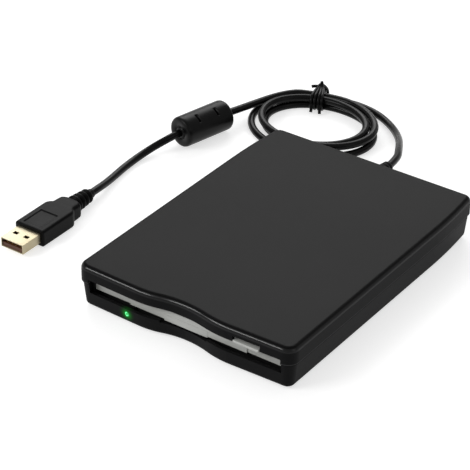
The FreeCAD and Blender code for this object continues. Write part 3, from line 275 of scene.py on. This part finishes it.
def case_plastic(name, lit):
    """Satin black, its light and shade painted by height: a lighter flat top, a dark rim line, a shadow
    seam and a pale highlight on the lip; the lower shell also gets a painted glow of the green light that
    its lamp spills.
    """
    finish = Finish(name)
    pits = finish.noise(5200.0, detail=3.0, rough=0.6)
    drift = finish.noise(16.0, detail=2.0)
    height = finish.node("ShaderNodeSeparateXYZ", {}, {0: finish.place()}, out=2)
    painted_light_top = finish.ramp(height, *below_top(PAINTED_LIGHT_TOP_BELOW))
    painted_dark_rim = finish.ramp(height, *below_top(PAINTED_DARK_RIM_BELOW))
    band = finish.zone(height, *below_top(BAND_BELOW))
    painted_seam_shadow = finish.zone(height, *above_parting(SEAM_SHADOW_ABOVE))
    painted_lip_highlight = finish.zone(height, *above_parting(LIP_HIGHLIGHT_ABOVE))
    # The sides are dark grey; the rim just under the flat top gets a painted near-black line of shade.
    colour = finish.blend(painted_dark_rim, finish.mottle(drift, tint(9, 9, 10), tint(13, 13, 14)), tint(4, 4, 4))
    # Painted light: the flat top is painted a lighter grey than the sides.
    colour = finish.blend(painted_light_top, colour, finish.mottle(drift, tint(27, 27, 27), tint(30, 30, 30)))
    # Painted highlight: a pale band on the lip above the parting.
    colour = finish.blend(painted_lip_highlight, colour, tint(62, 62, 63))
    # Painted shadow: a near-black line where the two shells meet.
    colour = finish.blend(painted_seam_shadow, colour, tint(2, 2, 2))
    sockets = {
        "Base Color": colour,
        "Roughness": 0.5 + (pits - 0.5) * 0.1 + painted_seam_shadow * 0.45,
        "Specular IOR Level": 0.06,
        "Coat Weight": band * 0.42,
        "Coat Roughness": 0.19,
        "Normal": finish.bump(pits, 0.3, 0.05 * MM),
    }
    if lit:
        ends = {0: finish.place(), 1: LAMP_AT}
        away = finish.node("ShaderNodeVectorMath", {"operation": "DISTANCE"}, ends, out=1)
        # Painted glow: the case itself emits the lamp's green light, fading with distance from the lamp.
        painted_glow = finish.ramp(away, 0.0, PAINTED_GLOW_REACH, 1.0, 0.0) ** PAINTED_GLOW_FADE
        sockets["Emission Color"] = finish.blend(painted_glow, BLACK, tint(0, 190, 40))
        sockets["Emission Strength"] = 0.9
    return finish.surface(sockets)


# %% [markdown]
# The door and the button are warm grey mouldings. Plastic that flowed into a mould keeps
# faint lines along its way, so the noise is stretched to run across the drive.

# %% Grey plastic
def grey_plastic():
    """Warm light grey moulding with faint flow lines."""
    finish = Finish("grey_plastic")
    pits = finish.noise(4200.0, detail=2.0)
    flow = finish.noise(25.0, detail=3.0, stretch=(0.3, 1.0, 2.0))
    return finish.surface({
        "Base Color": finish.mottle(flow, tint(186, 187, 183), tint(196, 197, 193)),
        "Roughness": 0.42 + (pits - 0.5) * 0.1,
        "Normal": finish.bump(pits, 0.2, 0.04 * MM),
    })


# %% [markdown]
# The lamp on the front is the domed end of a green plastic rod. A real lamp inside it would
# cost render time and give noise, so the end glows by itself: a bright broken ring, told by
# the distance from the rod's own axis.

# %% The light guide
def light_guide():
    """Green rod that glows at its domed end only, brightest in a ring of sqrt(x^2 + z^2)."""
    finish = Finish("clear_guide")
    ends = {0: finish.place(), 1: LAMP_AT}
    place = finish.node("ShaderNodeVectorMath", {"operation": "SUBTRACT"}, ends)
    x, y, z = [finish.node("ShaderNodeSeparateXYZ", {}, {0: place}, out=axis) for axis in range(3)]
    radius = (x * x + z * z) ** 0.5
    ring = finish.ramp(radius, 0.2 * MM, 0.5 * MM) * finish.ramp(radius, 0.75 * MM, 1.05 * MM, 1.0, 0.3)
    patches = finish.ramp(finish.noise(800.0, detail=1.0), 0.42, 0.5)
    front = finish.ramp(y, 1.2 * MM, 1.6 * MM, 1.0, 0.0)
    glow = front * (0.2 + ring * patches * 0.8)
    return finish.surface({
        "Base Color": finish.blend(front, tint(20, 24, 21), tint(40, 150, 70)),
        "Roughness": 0.25 + (patches - 0.5) * 0.04,
        "Emission Color": finish.blend(glow, BLACK, tint(90, 255, 150)),
        "Emission Strength": 1.6,
    })


# %% [markdown]
# Everything else is one of four families: black mouldings and rubber, plated or ground
# metal, green boards, and small plain mouldings. Each family is one function, and the
# pieces differ in colour, grain size and gloss.

# %% The four families
def moulded_black(name, level, rough, scale, strength, shine=0.5):
    """Black moulding or rubber: its grain size, gloss and shine are the only differences."""
    finish = Finish(name)
    grain = finish.noise(scale, detail=3.0, rough=0.6)
    drift = finish.noise(70.0, detail=3.0)
    return finish.surface({
        "Base Color": finish.mottle(drift, grey(level), grey(level + 4)),
        "Roughness": rough + (drift - 0.5) * 0.12,
        "Specular IOR Level": shine,
        "Normal": finish.bump(grain, strength, 0.05 * MM),
    })


def metal(name, colour, worn, rough, scratch=900.0):
    """Plated or ground metal: long faint scratches and slow colour drift."""
    finish = Finish(name)
    lines = finish.noise(scratch, detail=4.0, rough=0.7, stretch=(0.15, 1.0, 1.0))
    drift = finish.noise(45.0, detail=3.0)
    return finish.surface({
        "Base Color": finish.mottle(drift, colour, worn, low=0.35),
        "Metallic": 1.0,
        "Roughness": rough + (lines - 0.5) * 0.14,
        "Normal": finish.bump(lines, 0.15, 0.02 * MM),
    })


def board_green():
    """Solder mask over a faint copper pattern."""
    finish = Finish("board_green")
    inputs = {"Vector": finish.place(), "Scale": 320.0}
    cells = finish.node("ShaderNodeTexVoronoi", {"feature": "DISTANCE_TO_EDGE"}, inputs)
    tracks = finish.ramp(cells, 0.02, 0.05)
    return finish.surface({
        "Base Color": finish.blend(tracks, tint(38, 110, 66), tint(20, 78, 44)),
        "Roughness": 0.28 + tracks * 0.1,
        "Coat Weight": 0.4,
    })


def plain(name, colour, other, rough):
    """Small moulded piece with slow variation in its colour and gloss."""
    finish = Finish(name)
    drift = finish.noise(120.0, detail=3.0)
    return finish.surface({
        "Base Color": finish.mottle(drift, colour, other),
        "Roughness": rough + (drift - 0.5) * 0.15,
        "Normal": finish.bump(drift, 0.1, 0.04 * MM),
    })


# %% [markdown]
# The frame's record says which finish each node has. The table below makes each finish once,
# and one loop dresses the whole drive. Only the lower shell is dressed again, because the
# lamp's green light is painted on it as a glow.

# %% Dressing the frame
FINISHES = {
    "case_plastic": case_plastic("case_plastic", False),
    "grey_plastic": grey_plastic(),
    "rubber_black": moulded_black("rubber_black", 14, 0.6, 2600.0, 0.4, 0.2),
    "screw_black": metal("screw_black", grey(60), grey(80), 0.4),
    "steel_sheet": metal("steel_sheet", grey(196), grey(178), 0.38),
    "steel_polished": metal("steel_polished", grey(208), grey(190), 0.2),
    "board_green": board_green(),
    "chip_black": moulded_black("chip_black", 34, 0.55, 3000.0, 0.3),
    "copper_wire": metal("copper_wire", tint(196, 118, 74), tint(170, 92, 56), 0.35, 2600.0),
    "brass_bush": metal("brass_bush", tint(205, 176, 110), tint(180, 150, 90), 0.32),
    "magnet_dark": moulded_black("magnet_dark", 62, 0.6, 2400.0, 0.5),
    "nylon_black": moulded_black("nylon_black", 20, 0.5, 2800.0, 0.3, 0.3),
    "head_ceramic": plain("head_ceramic", tint(222, 218, 205), tint(206, 202, 190), 0.3),
    "lamp_green": plain("lamp_green", tint(120, 240, 140), tint(90, 220, 115), 0.25),
    "clear_guide": light_guide(),
    "flex_amber": plain("flex_amber", tint(186, 132, 54), tint(160, 108, 40), 0.3),
    "cable_black": moulded_black("cable_black", 4, 0.28, 1800.0, 0.2, 0.13),
    "bead_black": moulded_black("bead_black", 5, 0.36, 1500.0, 0.15, 0.14),
    "plug_black": moulded_black("plug_black", 5, 0.42, 2600.0, 0.3, 0.07),
    "plug_metal": metal("plug_metal", tint(196, 188, 164), tint(180, 168, 138), 0.46),
    "tongue_dark": plain("tongue_dark", tint(88, 48, 20), tint(70, 38, 18), 0.5),
    "contact_gold": metal("contact_gold", tint(224, 188, 112), tint(206, 168, 96), 0.22),
}


def dress(thing, material):
    """Gives a piece one material."""
    thing.data.materials.clear()
    thing.data.materials.append(material)


slot_of = {part["node"]: part["material_slot"] for part in frame["record"]["subparts"]}
for node_name, node in frame["nodes"].items():
    dress(node, FINISHES[slot_of[node_name]])
# The lower shell's finish also paints the lamp's green glow on it.
dress(frame["nodes"]["bottom_case"], case_plastic("case_lit", True))
print("dressed", len(slot_of), "nodes")


# %% [markdown]
# The lead is one cable from the boot to the plug. Its route is a list of points given in
# millimetres, and the coil between them is worked out: an oval spiral, in on the table
# and out on top.

# %% The lead's route
CABLE_RADIUS = 1.75 * MM
COIL_MIDDLE = (-54.0, 107.8)
COIL_HALF = (31.6, 25.8)
COIL_ENTRY_OUT = 2.5
COIL_INNERMOST = 7.3
COIL_EXIT_IN = 1.0
COIL_LAYER = 4.05
COIL_LOOPS = 1.5
COIL_START = math.radians(115.0)
POINTS_A_TURN = 16
LEAD_POINTS = [
    (1.5, 81.65, 12.5),
    (0.6, 91.0, 12.0),
    (-4.4, 100.5, 10.3),
    (-10.6, 111.5, 7.2),
    (-18.0, 121.8, 3.9),
    (-26.2, 130.0, 2.1),
    (-36.0, 135.8, 1.75),
    (-46.5, 138.3, 1.75),
    (-56.2, 137.9, 1.75),
]
MID_POINTS = [
    (-74.6, 126.9, 5.8),
    (-78.9, 122.9, 5.7),
    (-82.4, 117.6, 5.5),
    (-85.2, 111.2, 5.3),
    (-86.9, 104.4, 5.6),
    (-87.9, 97.4, 6.4),
    (-88.6, 91.4, 7.2),
]
BEAD_REAR = (-89.6, 86.2, 7.7)
BEAD_FRONT = (-96.5, 57.0, 7.7)
TAIL_POINTS = [
    (-98.6, 51.2, 6.4),
    (-101.6, 46.8, 4.2),
    (-103.6, 41.2, 2.5),
    (-104.2, 34.0, 1.75),
    (-103.6, 25.4, 1.75),
    (-102.2, 16.6, 1.95),
    (-100.6, 8.4, 2.8),
    (-99.5, 2.4, 3.8),
    (-99.2, -2.7, 4.0),
]


def smooth_share(share):
    """Rises from 0 to 1 as 3t^2 - 2t^3 and stays there."""
    share = np.clip(share, 0, 1)
    return share * share * (3 - 2 * share)


def coil_points():
    """Oval spiral: it draws in at one rate, climbs in half a turn, and widens at another."""
    turns = np.arange(1, round(2 * COIL_LOOPS * POINTS_A_TURN)) / POINTS_A_TURN
    going_in = -COIL_ENTRY_OUT + (COIL_INNERMOST + COIL_ENTRY_OUT) * turns / COIL_LOOPS
    going_out = COIL_INNERMOST - (COIL_INNERMOST - COIL_EXIT_IN) * (turns - COIL_LOOPS) / COIL_LOOPS
    inset = np.where(turns < COIL_LOOPS, going_in, going_out)
    angle = COIL_START + 2 * math.pi * turns
    x = COIL_MIDDLE[0] + (COIL_HALF[0] - inset) * np.cos(angle)
    y = COIL_MIDDLE[1] + (COIL_HALF[1] - inset) * np.sin(angle)
    z = CABLE_RADIUS / MM + COIL_LAYER * smooth_share((turns - COIL_LOOPS) * 2 + 0.5)
    return np.stack([x, y, z], axis=1)


route_points = LEAD_POINTS + coil_points().tolist() + MID_POINTS + [BEAD_REAR, BEAD_FRONT] + TAIL_POINTS
print("route of", len(route_points), "points")


# %% [markdown]
# A cable could be a chain of short tubes, but its bends would show corners. A quadratic
# spline bends as a real cable does and stays inside its control points, so it never dips
# under the table. The tie's wire is made by the same function.

# %% The lead
CABLE_STEPS = 10
CABLE_SIDES = 7


def add_run(curve, points, closed):
    """Adds one smooth run, in millimetres, whose control points are these."""
    spline = curve.splines.new("NURBS")
    spline.points.add(len(points) - 1)
    places = np.concatenate([np.array(points) * MM, np.ones((len(points), 1))], axis=1)
    spline.points.foreach_set("co", places.ravel())
    spline.order_u = 3
    spline.use_cyclic_u = closed
    spline.use_endpoint_u = not closed


def round_wire(name, loops, runs, radius, steps, sides):
    """Closed loops and open runs of one round wire, with flat ends."""
    curve = bpy.data.curves.new(name, "CURVE")
    curve.dimensions = "3D"
    for points in loops:
        add_run(curve, points, True)
    for points in runs:
        add_run(curve, points, False)
    curve.resolution_u = steps
    curve.bevel_depth = radius
    curve.bevel_resolution = sides
    curve.use_fill_caps = True
    made = bpy.data.objects.new(name, curve)
    bpy.context.scene.collection.objects.link(made)
    return made


def line_length(route):
    """Length of the spline: the sum of its steps, on a copy with no thickness."""
    bare = route.data.copy()
    bare.bevel_depth = 0.0
    probe = bpy.data.objects.new("probe", bare)
    bpy.context.scene.collection.objects.link(probe)
    bpy.context.view_layer.update()
    mesh = bpy.data.meshes.new_from_object(probe)
    places = np.zeros(len(mesh.vertices) * 3)
    mesh.vertices.foreach_get("co", places)
    steps = np.diff(places.reshape(-1, 3), axis=0)
    bpy.data.objects.remove(probe)
    bpy.data.curves.remove(bare)
    bpy.data.meshes.remove(mesh)
    return float(np.linalg.norm(steps, axis=1).sum())


cable = round_wire("cable", [], [route_points], CABLE_RADIUS, CABLE_STEPS, CABLE_SIDES)
cable_length = line_length(cable)
dress(cable, FINISHES["cable_black"])
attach(cable, "root")
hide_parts("cable_lead", "cable_coil", "cable_mid", "cable_tail")
print("cable length", round(cable_length, 4), "m")


# %% [markdown]
# Moulded pieces come from one idea: a closed section that changes as it travels along a
# line. Boxes joined by Booleans would leave hard, faceted joints, while a stack of sections
# gives soft mould edges for free. Each section is walked at an even pace, so that its points
# stay evenly spread even where the corners are tight.

# %% Swept pieces
CORNER_POINTS = 13
NEARLY_FULL = 0.999
PLACE_DIGITS = 6


def smooth_step(low, high, value):
    """Rises smoothly from 0 to 1 while the value goes from low to high."""
    return smooth_share((value - low) / (high - low))


def rounded_section(half_width, half_height, corner, count):
    """Even walk round a rectangle with round corners: four quarter circles, joined straight."""
    corner = min(corner, half_width * NEARLY_FULL, half_height * NEARLY_FULL)
    flat_x = half_width - corner
    flat_z = half_height - corner
    turn = np.linspace(0, math.pi / 2, CORNER_POINTS)
    dense = []
    for quarter, (sx, sz) in enumerate([(1, 1), (-1, 1), (-1, -1), (1, -1)]):
        angle = turn + quarter * math.pi / 2
        x = sx * flat_x + corner * np.cos(angle)
        z = sz * flat_z + corner * np.sin(angle)
        dense.append(np.stack([x, z], axis=1))
    dense = np.concatenate(dense + [dense[0][:1]])
    along = np.concatenate([[0], np.cumsum(np.linalg.norm(np.diff(dense, axis=0), axis=1))])
    wanted = np.linspace(0, along[-1], count, endpoint=False)
    return np.stack([np.interp(wanted, along, dense[:, k]) for k in range(2)], axis=1)


def skin_faces(stack, count):
    """Quads between neighbouring rings, and a fan of triangles to a middle point at each end."""
    column = np.arange(count)
    after = (column + 1) % count
    row = np.arange(stack - 1)[:, None] * count
    quads = np.stack([row + column, row + after, row + count + after, row + count + column], axis=2)
    last_ring = (stack - 1) * count
    first_middle = np.full(count, stack * count)
    first_fan = np.stack([after, column, first_middle], axis=1)
    last_fan = np.stack([last_ring + column, last_ring + after, first_middle + 1], axis=1)
    return quads.reshape(-1, 4).tolist() + first_fan.tolist() + last_fan.tolist()


def skin(name, rings, slot_name):
    """Closed mesh through a stack of equal rings given in millimetres."""
    rings = np.array(rings) * MM
    stack, count, _ = rings.shape
    points = np.concatenate([rings.reshape(-1, 3), [rings[0].mean(0), rings[-1].mean(0)]])
    mesh = bpy.data.meshes.new(name)
    mesh.from_pydata(points.tolist(), [], skin_faces(stack, count))
    mesh.polygons.foreach_set("use_smooth", [True] * len(mesh.polygons))
    tool = bmesh.new()
    tool.from_mesh(mesh)
    bmesh.ops.recalc_face_normals(tool, faces=tool.faces)
    tool.to_mesh(mesh)
    tool.free()
    made = bpy.data.objects.new(name, mesh)
    bpy.context.scene.collection.objects.link(made)
    dress(made, FINISHES[slot_name])
    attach(made, "root")
    print(name, "has", stack, "rings of", count, "points")
    return made


def stations(rows, step):
    """Values of a profile at even steps and at its own places, from (place, value, ...) rows.

    Rounding the places keeps two rings from falling on the same spot.
    """
    rows = np.array(rows, float)
    places = np.arange(rows[0, 0], rows[-1, 0] + step / 2, step)
    places = np.unique(np.round(np.concatenate([places, rows[:, 0]]), PLACE_DIGITS))
    return places, [np.interp(places, rows[:, 0], rows[:, k]) for k in range(1, rows.shape[1])]


# %% [markdown]
# The plug's grip is soft black plastic moulded over the plug: a wide body, a waist, a
# narrower second body and a collar of rings that lets the lead bend. It lies along Y, so its
# profile is rows of place, half width, half height and corner. The sunk panel on top is a
# real step in the surface, because a bump would vanish from the side.

# %% The plug's grip
GRIP_X = -99.2
GRIP_Z = 4.0
GRIP_POINTS = 176
GRIP_STEP = 0.2
GRIP_PROFILE = [
    (-45.0, 7.35, 3.5, 1.0), (-44.85, 7.62, 3.78, 1.1), (-44.6, 7.8, 3.95, 1.2), (-44.2, 7.85, 4.0, 1.3),
    (-25.6, 7.85, 4.0, 1.3), (-24.6, 7.7, 4.0, 1.4), (-23.6, 7.1, 3.98, 1.5), (-22.8, 6.35, 3.92, 1.6),
    (-22.0, 6.0, 3.86, 1.7), (-19.2, 5.95, 3.84, 1.8), (-17.6, 5.85, 3.8, 1.9), (-16.8, 5.4, 3.7, 2.2),
    (-16.3, 4.6, 3.6, 2.6), (-16.0, 3.7, 3.4, 3.3),
]
PANEL_HALF = 4.6
PANEL_FROM = -43.2
PANEL_TO = -31.4
PANEL_DEEP = 0.4
PANEL_EDGE = 0.15
TOP_WITHIN = 0.05
RING_FROM = -15.6
RING_PITCH = 2.7
RING_COUNT = 4
RING_RADIUS = 4.0
RING_SHRINK = 0.22
RING_PROFILE = [(0.0, -0.9), (0.45, -0.9), (0.6, -0.25), (0.85, 0.0), (1.6, 0.0), (1.95, -0.15),
                (2.15, -0.5), (2.25, -0.9)]
COLLAR_END = [(-4.6, 2.3), (-3.0, 2.1), (-2.7, 1.95)]


def between(low, high, value):
    """1 between two values and 0 outside them, with a smooth edge at each."""
    rising = smooth_step(low - PANEL_EDGE, low + PANEL_EDGE, value)
    return rising * (1 - smooth_step(high - PANEL_EDGE, high + PANEL_EDGE, value))


def body_ring(y, half_width, half_height, corner):
    """Section of the grip's body, lowered by the panel's depth where the panel lies."""
    section = rounded_section(half_width, half_height, corner, GRIP_POINTS)
    x, z = section[:, 0], section[:, 1]
    panel = between(-PANEL_HALF, PANEL_HALF, x) * between(PANEL_FROM, PANEL_TO, y)
    z = z - PANEL_DEEP * panel * (z > half_height - TOP_WITHIN)
    return np.stack([x + GRIP_X, np.full_like(x, y), z + GRIP_Z], axis=1)


def collar_ring(y, radius):
    """Round section of the collar."""
    turn = np.arange(GRIP_POINTS) / GRIP_POINTS * 2 * math.pi
    x = GRIP_X + radius * np.cos(turn)
    z = GRIP_Z + radius * np.sin(turn)
    return np.stack([x, np.full_like(turn, y), z], axis=1)


def plug_grip():
    """The body's sections, then each ring of the collar a little smaller than the one before."""
    places, sizes = stations(GRIP_PROFILE, GRIP_STEP)
    rings = [body_ring(*row) for row in zip(places, *sizes)]
    for index in range(RING_COUNT):
        start = RING_FROM + index * RING_PITCH
        radius = RING_RADIUS - RING_SHRINK * index
        rings += [collar_ring(start + step, radius + reach) for step, reach in RING_PROFILE]
    rings += [collar_ring(y, radius) for y, radius in COLLAR_END]
    return skin("grip_moulding", rings, "plug_black")


grip = plug_grip()
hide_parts("usb_grip")


# %% [markdown]
# The light guide, the bead and the boot are round. Spinning a profile with a modifier would
# do, but the bead has two slits in its side, so the turning is worked out here: the radius
# is the profile's, less the depth of a dent where the angle and the place are near it.

# %% Turned pieces
SIDE_SHARP = 0.8
END_SHARP = 0.6


def along_axis(start, end):
    """Frame of a straight piece: its start, its direction, and two directions across it."""
    start, end = np.array(start, float), np.array(end, float)
    axis = (end - start) / np.linalg.norm(end - start)
    side = np.cross(axis, (0, 0, 1.0))
    side = side / np.linalg.norm(side)
    return start, axis, side, np.cross(side, axis)


def turned(name, ends, rows, slot_name, count, dents=()):
    """Turned piece from (place, radius) rows.

    A dent is (place, angle, half length, half width, depth).
    """
    base, axis, side, up = along_axis(*ends)
    turn = np.arange(count) / count * 2 * math.pi
    place, radius = np.array(rows, float).T[:, :, None]
    reach = radius + np.zeros(count)
    for at, angle, long, wide, deep in dents:
        off = np.abs((turn - angle + math.pi) % (2 * math.pi) - math.pi) * radius
        near_side = 1 - smooth_step(wide * SIDE_SHARP, wide, off)
        near_place = 1 - smooth_step(long * END_SHARP, long, np.abs(place - at))
        reach = reach - deep * near_side * near_place
    across = side * (reach * np.sin(turn))[..., None] + up * (reach * np.cos(turn))[..., None]
    return skin(name, base + axis * place[..., None] + across, slot_name)


# %% [markdown]
# The rod of the light guide runs back from the front wall towards the lamp on its board. It
# is the simplest turned piece: a small dome, a straight side and a flat end.

# %% The light guide's rod
GUIDE_ENDS = ((-27.5, -69.8, 5.2), (-27.5, -61.95, 5.2))
GUIDE_POINTS = 48
GUIDE_PROFILE = [(0.0, 0.2), (0.04, 0.45), (0.14, 0.72), (0.3, 0.93), (0.5, 1.05), (0.8, 1.1), (3.0, 1.1),
                 (6.0, 1.1), (7.75, 1.1), (7.85, 1.0)]
guide = turned("light_guide", GUIDE_ENDS, GUIDE_PROFILE, "clear_guide", GUIDE_POINTS)
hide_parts("status_light")


# %% [markdown]
# The bead is a hard tube moulded in black plastic, which quietens the lead. Two slits in its
# side show where pins held the tube in the mould. Its ends are rounded and sink a little
# round the lead, and its rows lie close together so that the slits keep sharp edges.

# %% The bead
BEAD_ENDS = (BEAD_FRONT, BEAD_REAR)
BEAD_LENGTH = 30.0
BEAD_INSET = 1.3
BEAD_SPAN = BEAD_LENGTH - 2 * BEAD_INSET
BEAD_SLIM = 0.945
BEAD_RADIUS = 7.7
BEAD_ROUND = 2.2
BEAD_STEP = 0.25
BEAD_POINTS = 168
BEAD_END = [(0, 2.0), (0.05, 2.6), (0.9, 2.75), (1.0, 3.1), (0.35, 3.5), (0.05, 4.1), (0.0, 5.9),
            (0.12, 6.6), (0.4, 7.15), (0.9, 7.5), (1.5, 7.66), (BEAD_ROUND, BEAD_RADIUS)]
BEAD_SLITS = [(9.6, math.radians(30), 0.8, 2.3, 1.7), (20.4, math.radians(33), 0.8, 2.3, 1.7)]


def bead_rows():
    """One rounded end, the straight side, and the same end turned round."""
    steps = np.arange(1, (BEAD_SPAN - 2 * BEAD_ROUND) / BEAD_STEP)
    side = [(BEAD_ROUND + BEAD_STEP * step, BEAD_RADIUS) for step in steps]
    other_end = [(BEAD_SPAN - place, radius) for place, radius in reversed(BEAD_END)]
    return [(place + BEAD_INSET, radius * BEAD_SLIM) for place, radius in BEAD_END + side + other_end]


bead = turned("bead_moulding", BEAD_ENDS, bead_rows(), "bead_black", BEAD_POINTS, BEAD_SLITS)
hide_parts("ferrite_bead")


# %% [markdown]
# The boot where the lead leaves the case is a rubber collar: a flange inside the wall, a
# neck through it, and four ribs outside that get smaller towards the lead.

# %% The boot
BOOT_ENDS = ((1.5, 66.9, 12.5), (1.5, 81.65, 12.5))
BOOT_POINTS = 72
BOOT_FLANGE = [(0.0, 3.55), (0.12, 3.7), (1.08, 3.7), (1.2, 3.55), (1.22, 2.7), (4.2, 2.7),
               (4.26, 3.5), (4.5, 3.9), (5.0, 4.0)]
BOOT_TIP = [(14.4, 2.65), (14.65, 2.45), (14.75, 2.0)]
RIB_COUNT = 4
RIB_FROM = 6.4
RIB_PITCH = 2.0
RIB_RADIUS = 4.0
RIB_ENDS = [(-0.15, 0.0), (0.0, -0.2)]
RIB_GROOVE = [(0.1, 2.35), (0.8, 2.3)]
RIB_STARTS = [(0.9, -0.35), (1.05, -0.15)]
TAPER_FROM = 4.25
TAPER = 0.133


def boot_rib(at):
    """Rounded end of one rib, the groove after it, and the rounded start of the next."""
    full = RIB_RADIUS - (at - TAPER_FROM) * TAPER
    before = [(at + step, full + reach) for step, reach in RIB_ENDS]
    groove = [(at + step, radius) for step, radius in RIB_GROOVE]
    after = [(at + step, full + reach) for step, reach in RIB_STARTS]
    return before + groove + after


boot_ribs = [row for rib in range(RIB_COUNT) for row in boot_rib(RIB_FROM + rib * RIB_PITCH)]
boot = turned("boot_moulding", BOOT_ENDS, BOOT_FLANGE + boot_ribs + BOOT_TIP, "rubber_black", BOOT_POINTS)
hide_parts("strain_relief")


# %% [markdown]
# A plastic-covered wire holds the coil: four turns round the bundle, pulled together at the
# top, with loose ends above and below. One loop's points are given as distances out
# from the coil, along the lead and up. The share in each row says how far along the lead
# that point follows its loop, so that the four loops spread below and meet at the knot.

# %% The tie
TIE_MIDDLE = np.array([-66.3, 129.6, 4.2])
TIE_OUT = np.array([-0.36, 0.933, 0.0])
TIE_ALONG = np.array([0.933, 0.36, 0.0])
TIE_UP = np.array([0.0, 0.0, 1.0])
WIRE_RADIUS = 0.75 * MM
WIRE_STEPS = 8
WIRE_SIDES = 5
TIE_OFFSETS = [-2.7, -1.0, 0.9, 2.5]
TIE_LOOP = [(-7.7, 1.0, -1.2), (-7.3, 1.0, 1.4), (-6.0, 0.95, 3.4), (-3.0, 0.85, 4.1), (0.2, 0.7, 4.2),
            (2.4, 0.35, 4.6), (3.6, 0.1, 5.6), (4.8, 0.35, 4.6), (6.6, 0.8, 2.4), (7.7, 1.0, 0.2),
            (7.7, 1.0, -2.0), (5.0, 1.0, -3.4), (0.0, 1.0, -3.4), (-5.0, 1.0, -3.4)]
TIE_ENDS = [
    [(3.2, 1.0, 4.2), (3.7, 0.5, 5.4), (3.9, 0.1, 7.0)],
    [(3.4, -0.6, 4.4), (2.8, -2.2, 5.0), (2.2, -4.4, 4.6)],
    [(-7.4, -1.8, 0.6), (-8.1, -2.0, -1.2), (-8.6, -2.3, -3.2)],
    [(-7.4, 1.6, 0.4), (-8.3, 1.9, -1.4), (-9.2, 2.1, -3.4)],
]


def tie_points(rows):
    """Points of the tie from (out, along, up) distances, measured at the bundle's middle."""
    return [TIE_MIDDLE + TIE_OUT * out + TIE_ALONG * along + TIE_UP * up for out, along, up in rows]


def wire_tie():
    """Four loops round the bundle and four loose ends."""
    loops = []
    for offset in TIE_OFFSETS:
        loops.append(tie_points([(out, offset * share, up) for out, share, up in TIE_LOOP]))
    ends = [tie_points(rows) for rows in TIE_ENDS]
    made = round_wire("tie_wire", loops, ends, WIRE_RADIUS, WIRE_STEPS, WIRE_SIDES)
    dress(made, FINISHES["cable_black"])
    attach(made, "root")
    return made


tie = wire_tie()
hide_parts("cable_tie")
print("tie of", len(tie.data.splines), "wires")


# %% [markdown]
# The lead's curve stops at the plug's collar.


# %% [markdown]
# A product shot stands on white. The floor is white to the camera and to reflections, yet
# still takes the soft shadow that shows where the feet and the lead touch. More light would
# whiten it too, but would bleach the drive, so a share of its whiteness is its own.

# %% The floor
FLOOR_HALF = 6.0
FLOOR_COLOUR = (0.6, 0.6, 0.6, 1.0)
FLOOR_GLOW = 0.62
WHITE = (1.0, 1.0, 1.0, 1.0)


def white_floor():
    """Pale matt floor; a share of its light goes only to the camera and to reflections."""
    finish = Finish("floor_white")
    to_camera = finish.node("ShaderNodeLightPath", out="Is Camera Ray")
    to_gloss = finish.node("ShaderNodeLightPath", out="Is Glossy Ray")
    seen = to_camera + to_gloss
    diffuse = finish.node("ShaderNodeBsdfDiffuse", {}, {"Color": FLOOR_COLOUR})
    glow = finish.node("ShaderNodeEmission", {}, {"Color": WHITE, "Strength": seen * FLOOR_GLOW})
    both = finish.node("ShaderNodeAddShader", {}, {0: diffuse, 1: glow})
    finish.tree.links.new(both.socket, finish.output.inputs["Surface"])
    mesh = bpy.data.meshes.new("floor")
    signs = [(-1, -1), (1, -1), (1, 1), (-1, 1)]
    mesh.from_pydata([(x * FLOOR_HALF, y * FLOOR_HALF, 0) for x, y in signs], [], [(0, 1, 2, 3)])
    floor = bpy.data.objects.new("floor", mesh)
    bpy.context.scene.collection.objects.link(floor)
    dress(floor, finish.material)
    return floor


floor = white_floor()
print("floor", floor.name)


# %% [markdown]
# The world is the room: white where the camera looks past the floor, and an even pale light
# on everything else. Three large lamps shape the drive. The one behind draws the sheen on
# the lead, the narrow one in front draws the bright line along the rim, and the weak one
# keeps the right side from going black.

# %% World and lamps
WORLD_LIGHT = 0.5
LAMPS = {
    "back_box": ((-0.6, 0.85, 0.75), (0.9, 0.6), 7.0),
    "strip_box": ((-0.58, -0.8, 0.66), (0.55, 0.16), 5.0),
    "right_box": ((1.2, -0.1, 0.7), (0.6, 0.9), 1.0),
}


def soft_world(strength):
    """White to the camera, and an even pale light for everything else."""
    world = bpy.data.worlds.new("studio")
    bpy.context.scene.world = world
    world.use_nodes = True
    tree = world.node_tree
    tree.nodes.clear()
    rays = tree.nodes.new("ShaderNodeLightPath")
    mix = tree.nodes.new("ShaderNodeMixShader")
    tree.links.new(rays.outputs["Is Camera Ray"], mix.inputs[0])
    for socket, level in [(1, strength), (2, 1.0)]:
        background = tree.nodes.new("ShaderNodeBackground")
        background.inputs["Color"].default_value = WHITE
        background.inputs["Strength"].default_value = level
        tree.links.new(background.outputs[0], mix.inputs[socket])
    output = tree.nodes.new("ShaderNodeOutputWorld")
    tree.links.new(mix.outputs[0], output.inputs["Surface"])


def soft_box(name, place, size, power):
    """Rectangular lamp of a width and a height in metres that faces the origin."""
    data = bpy.data.lights.new(name, "AREA")
    data.shape = "RECTANGLE"
    data.size, data.size_y = size
    data.energy = power
    lamp = bpy.data.objects.new(name, data)
    bpy.context.scene.collection.objects.link(lamp)
    back = np.array(place) / np.linalg.norm(place)
    side = np.cross((0.0, 0.0, 1.0), back)
    side = side / np.linalg.norm(side)
    stand(lamp, side, np.cross(back, side), back, place)


soft_world(WORLD_LIGHT)
for lamp_name, (place, size, power) in LAMPS.items():
    soft_box(lamp_name, place, size, power)
bpy.context.scene.view_settings.view_transform = "Standard"
print("lamps", sorted(LAMPS))
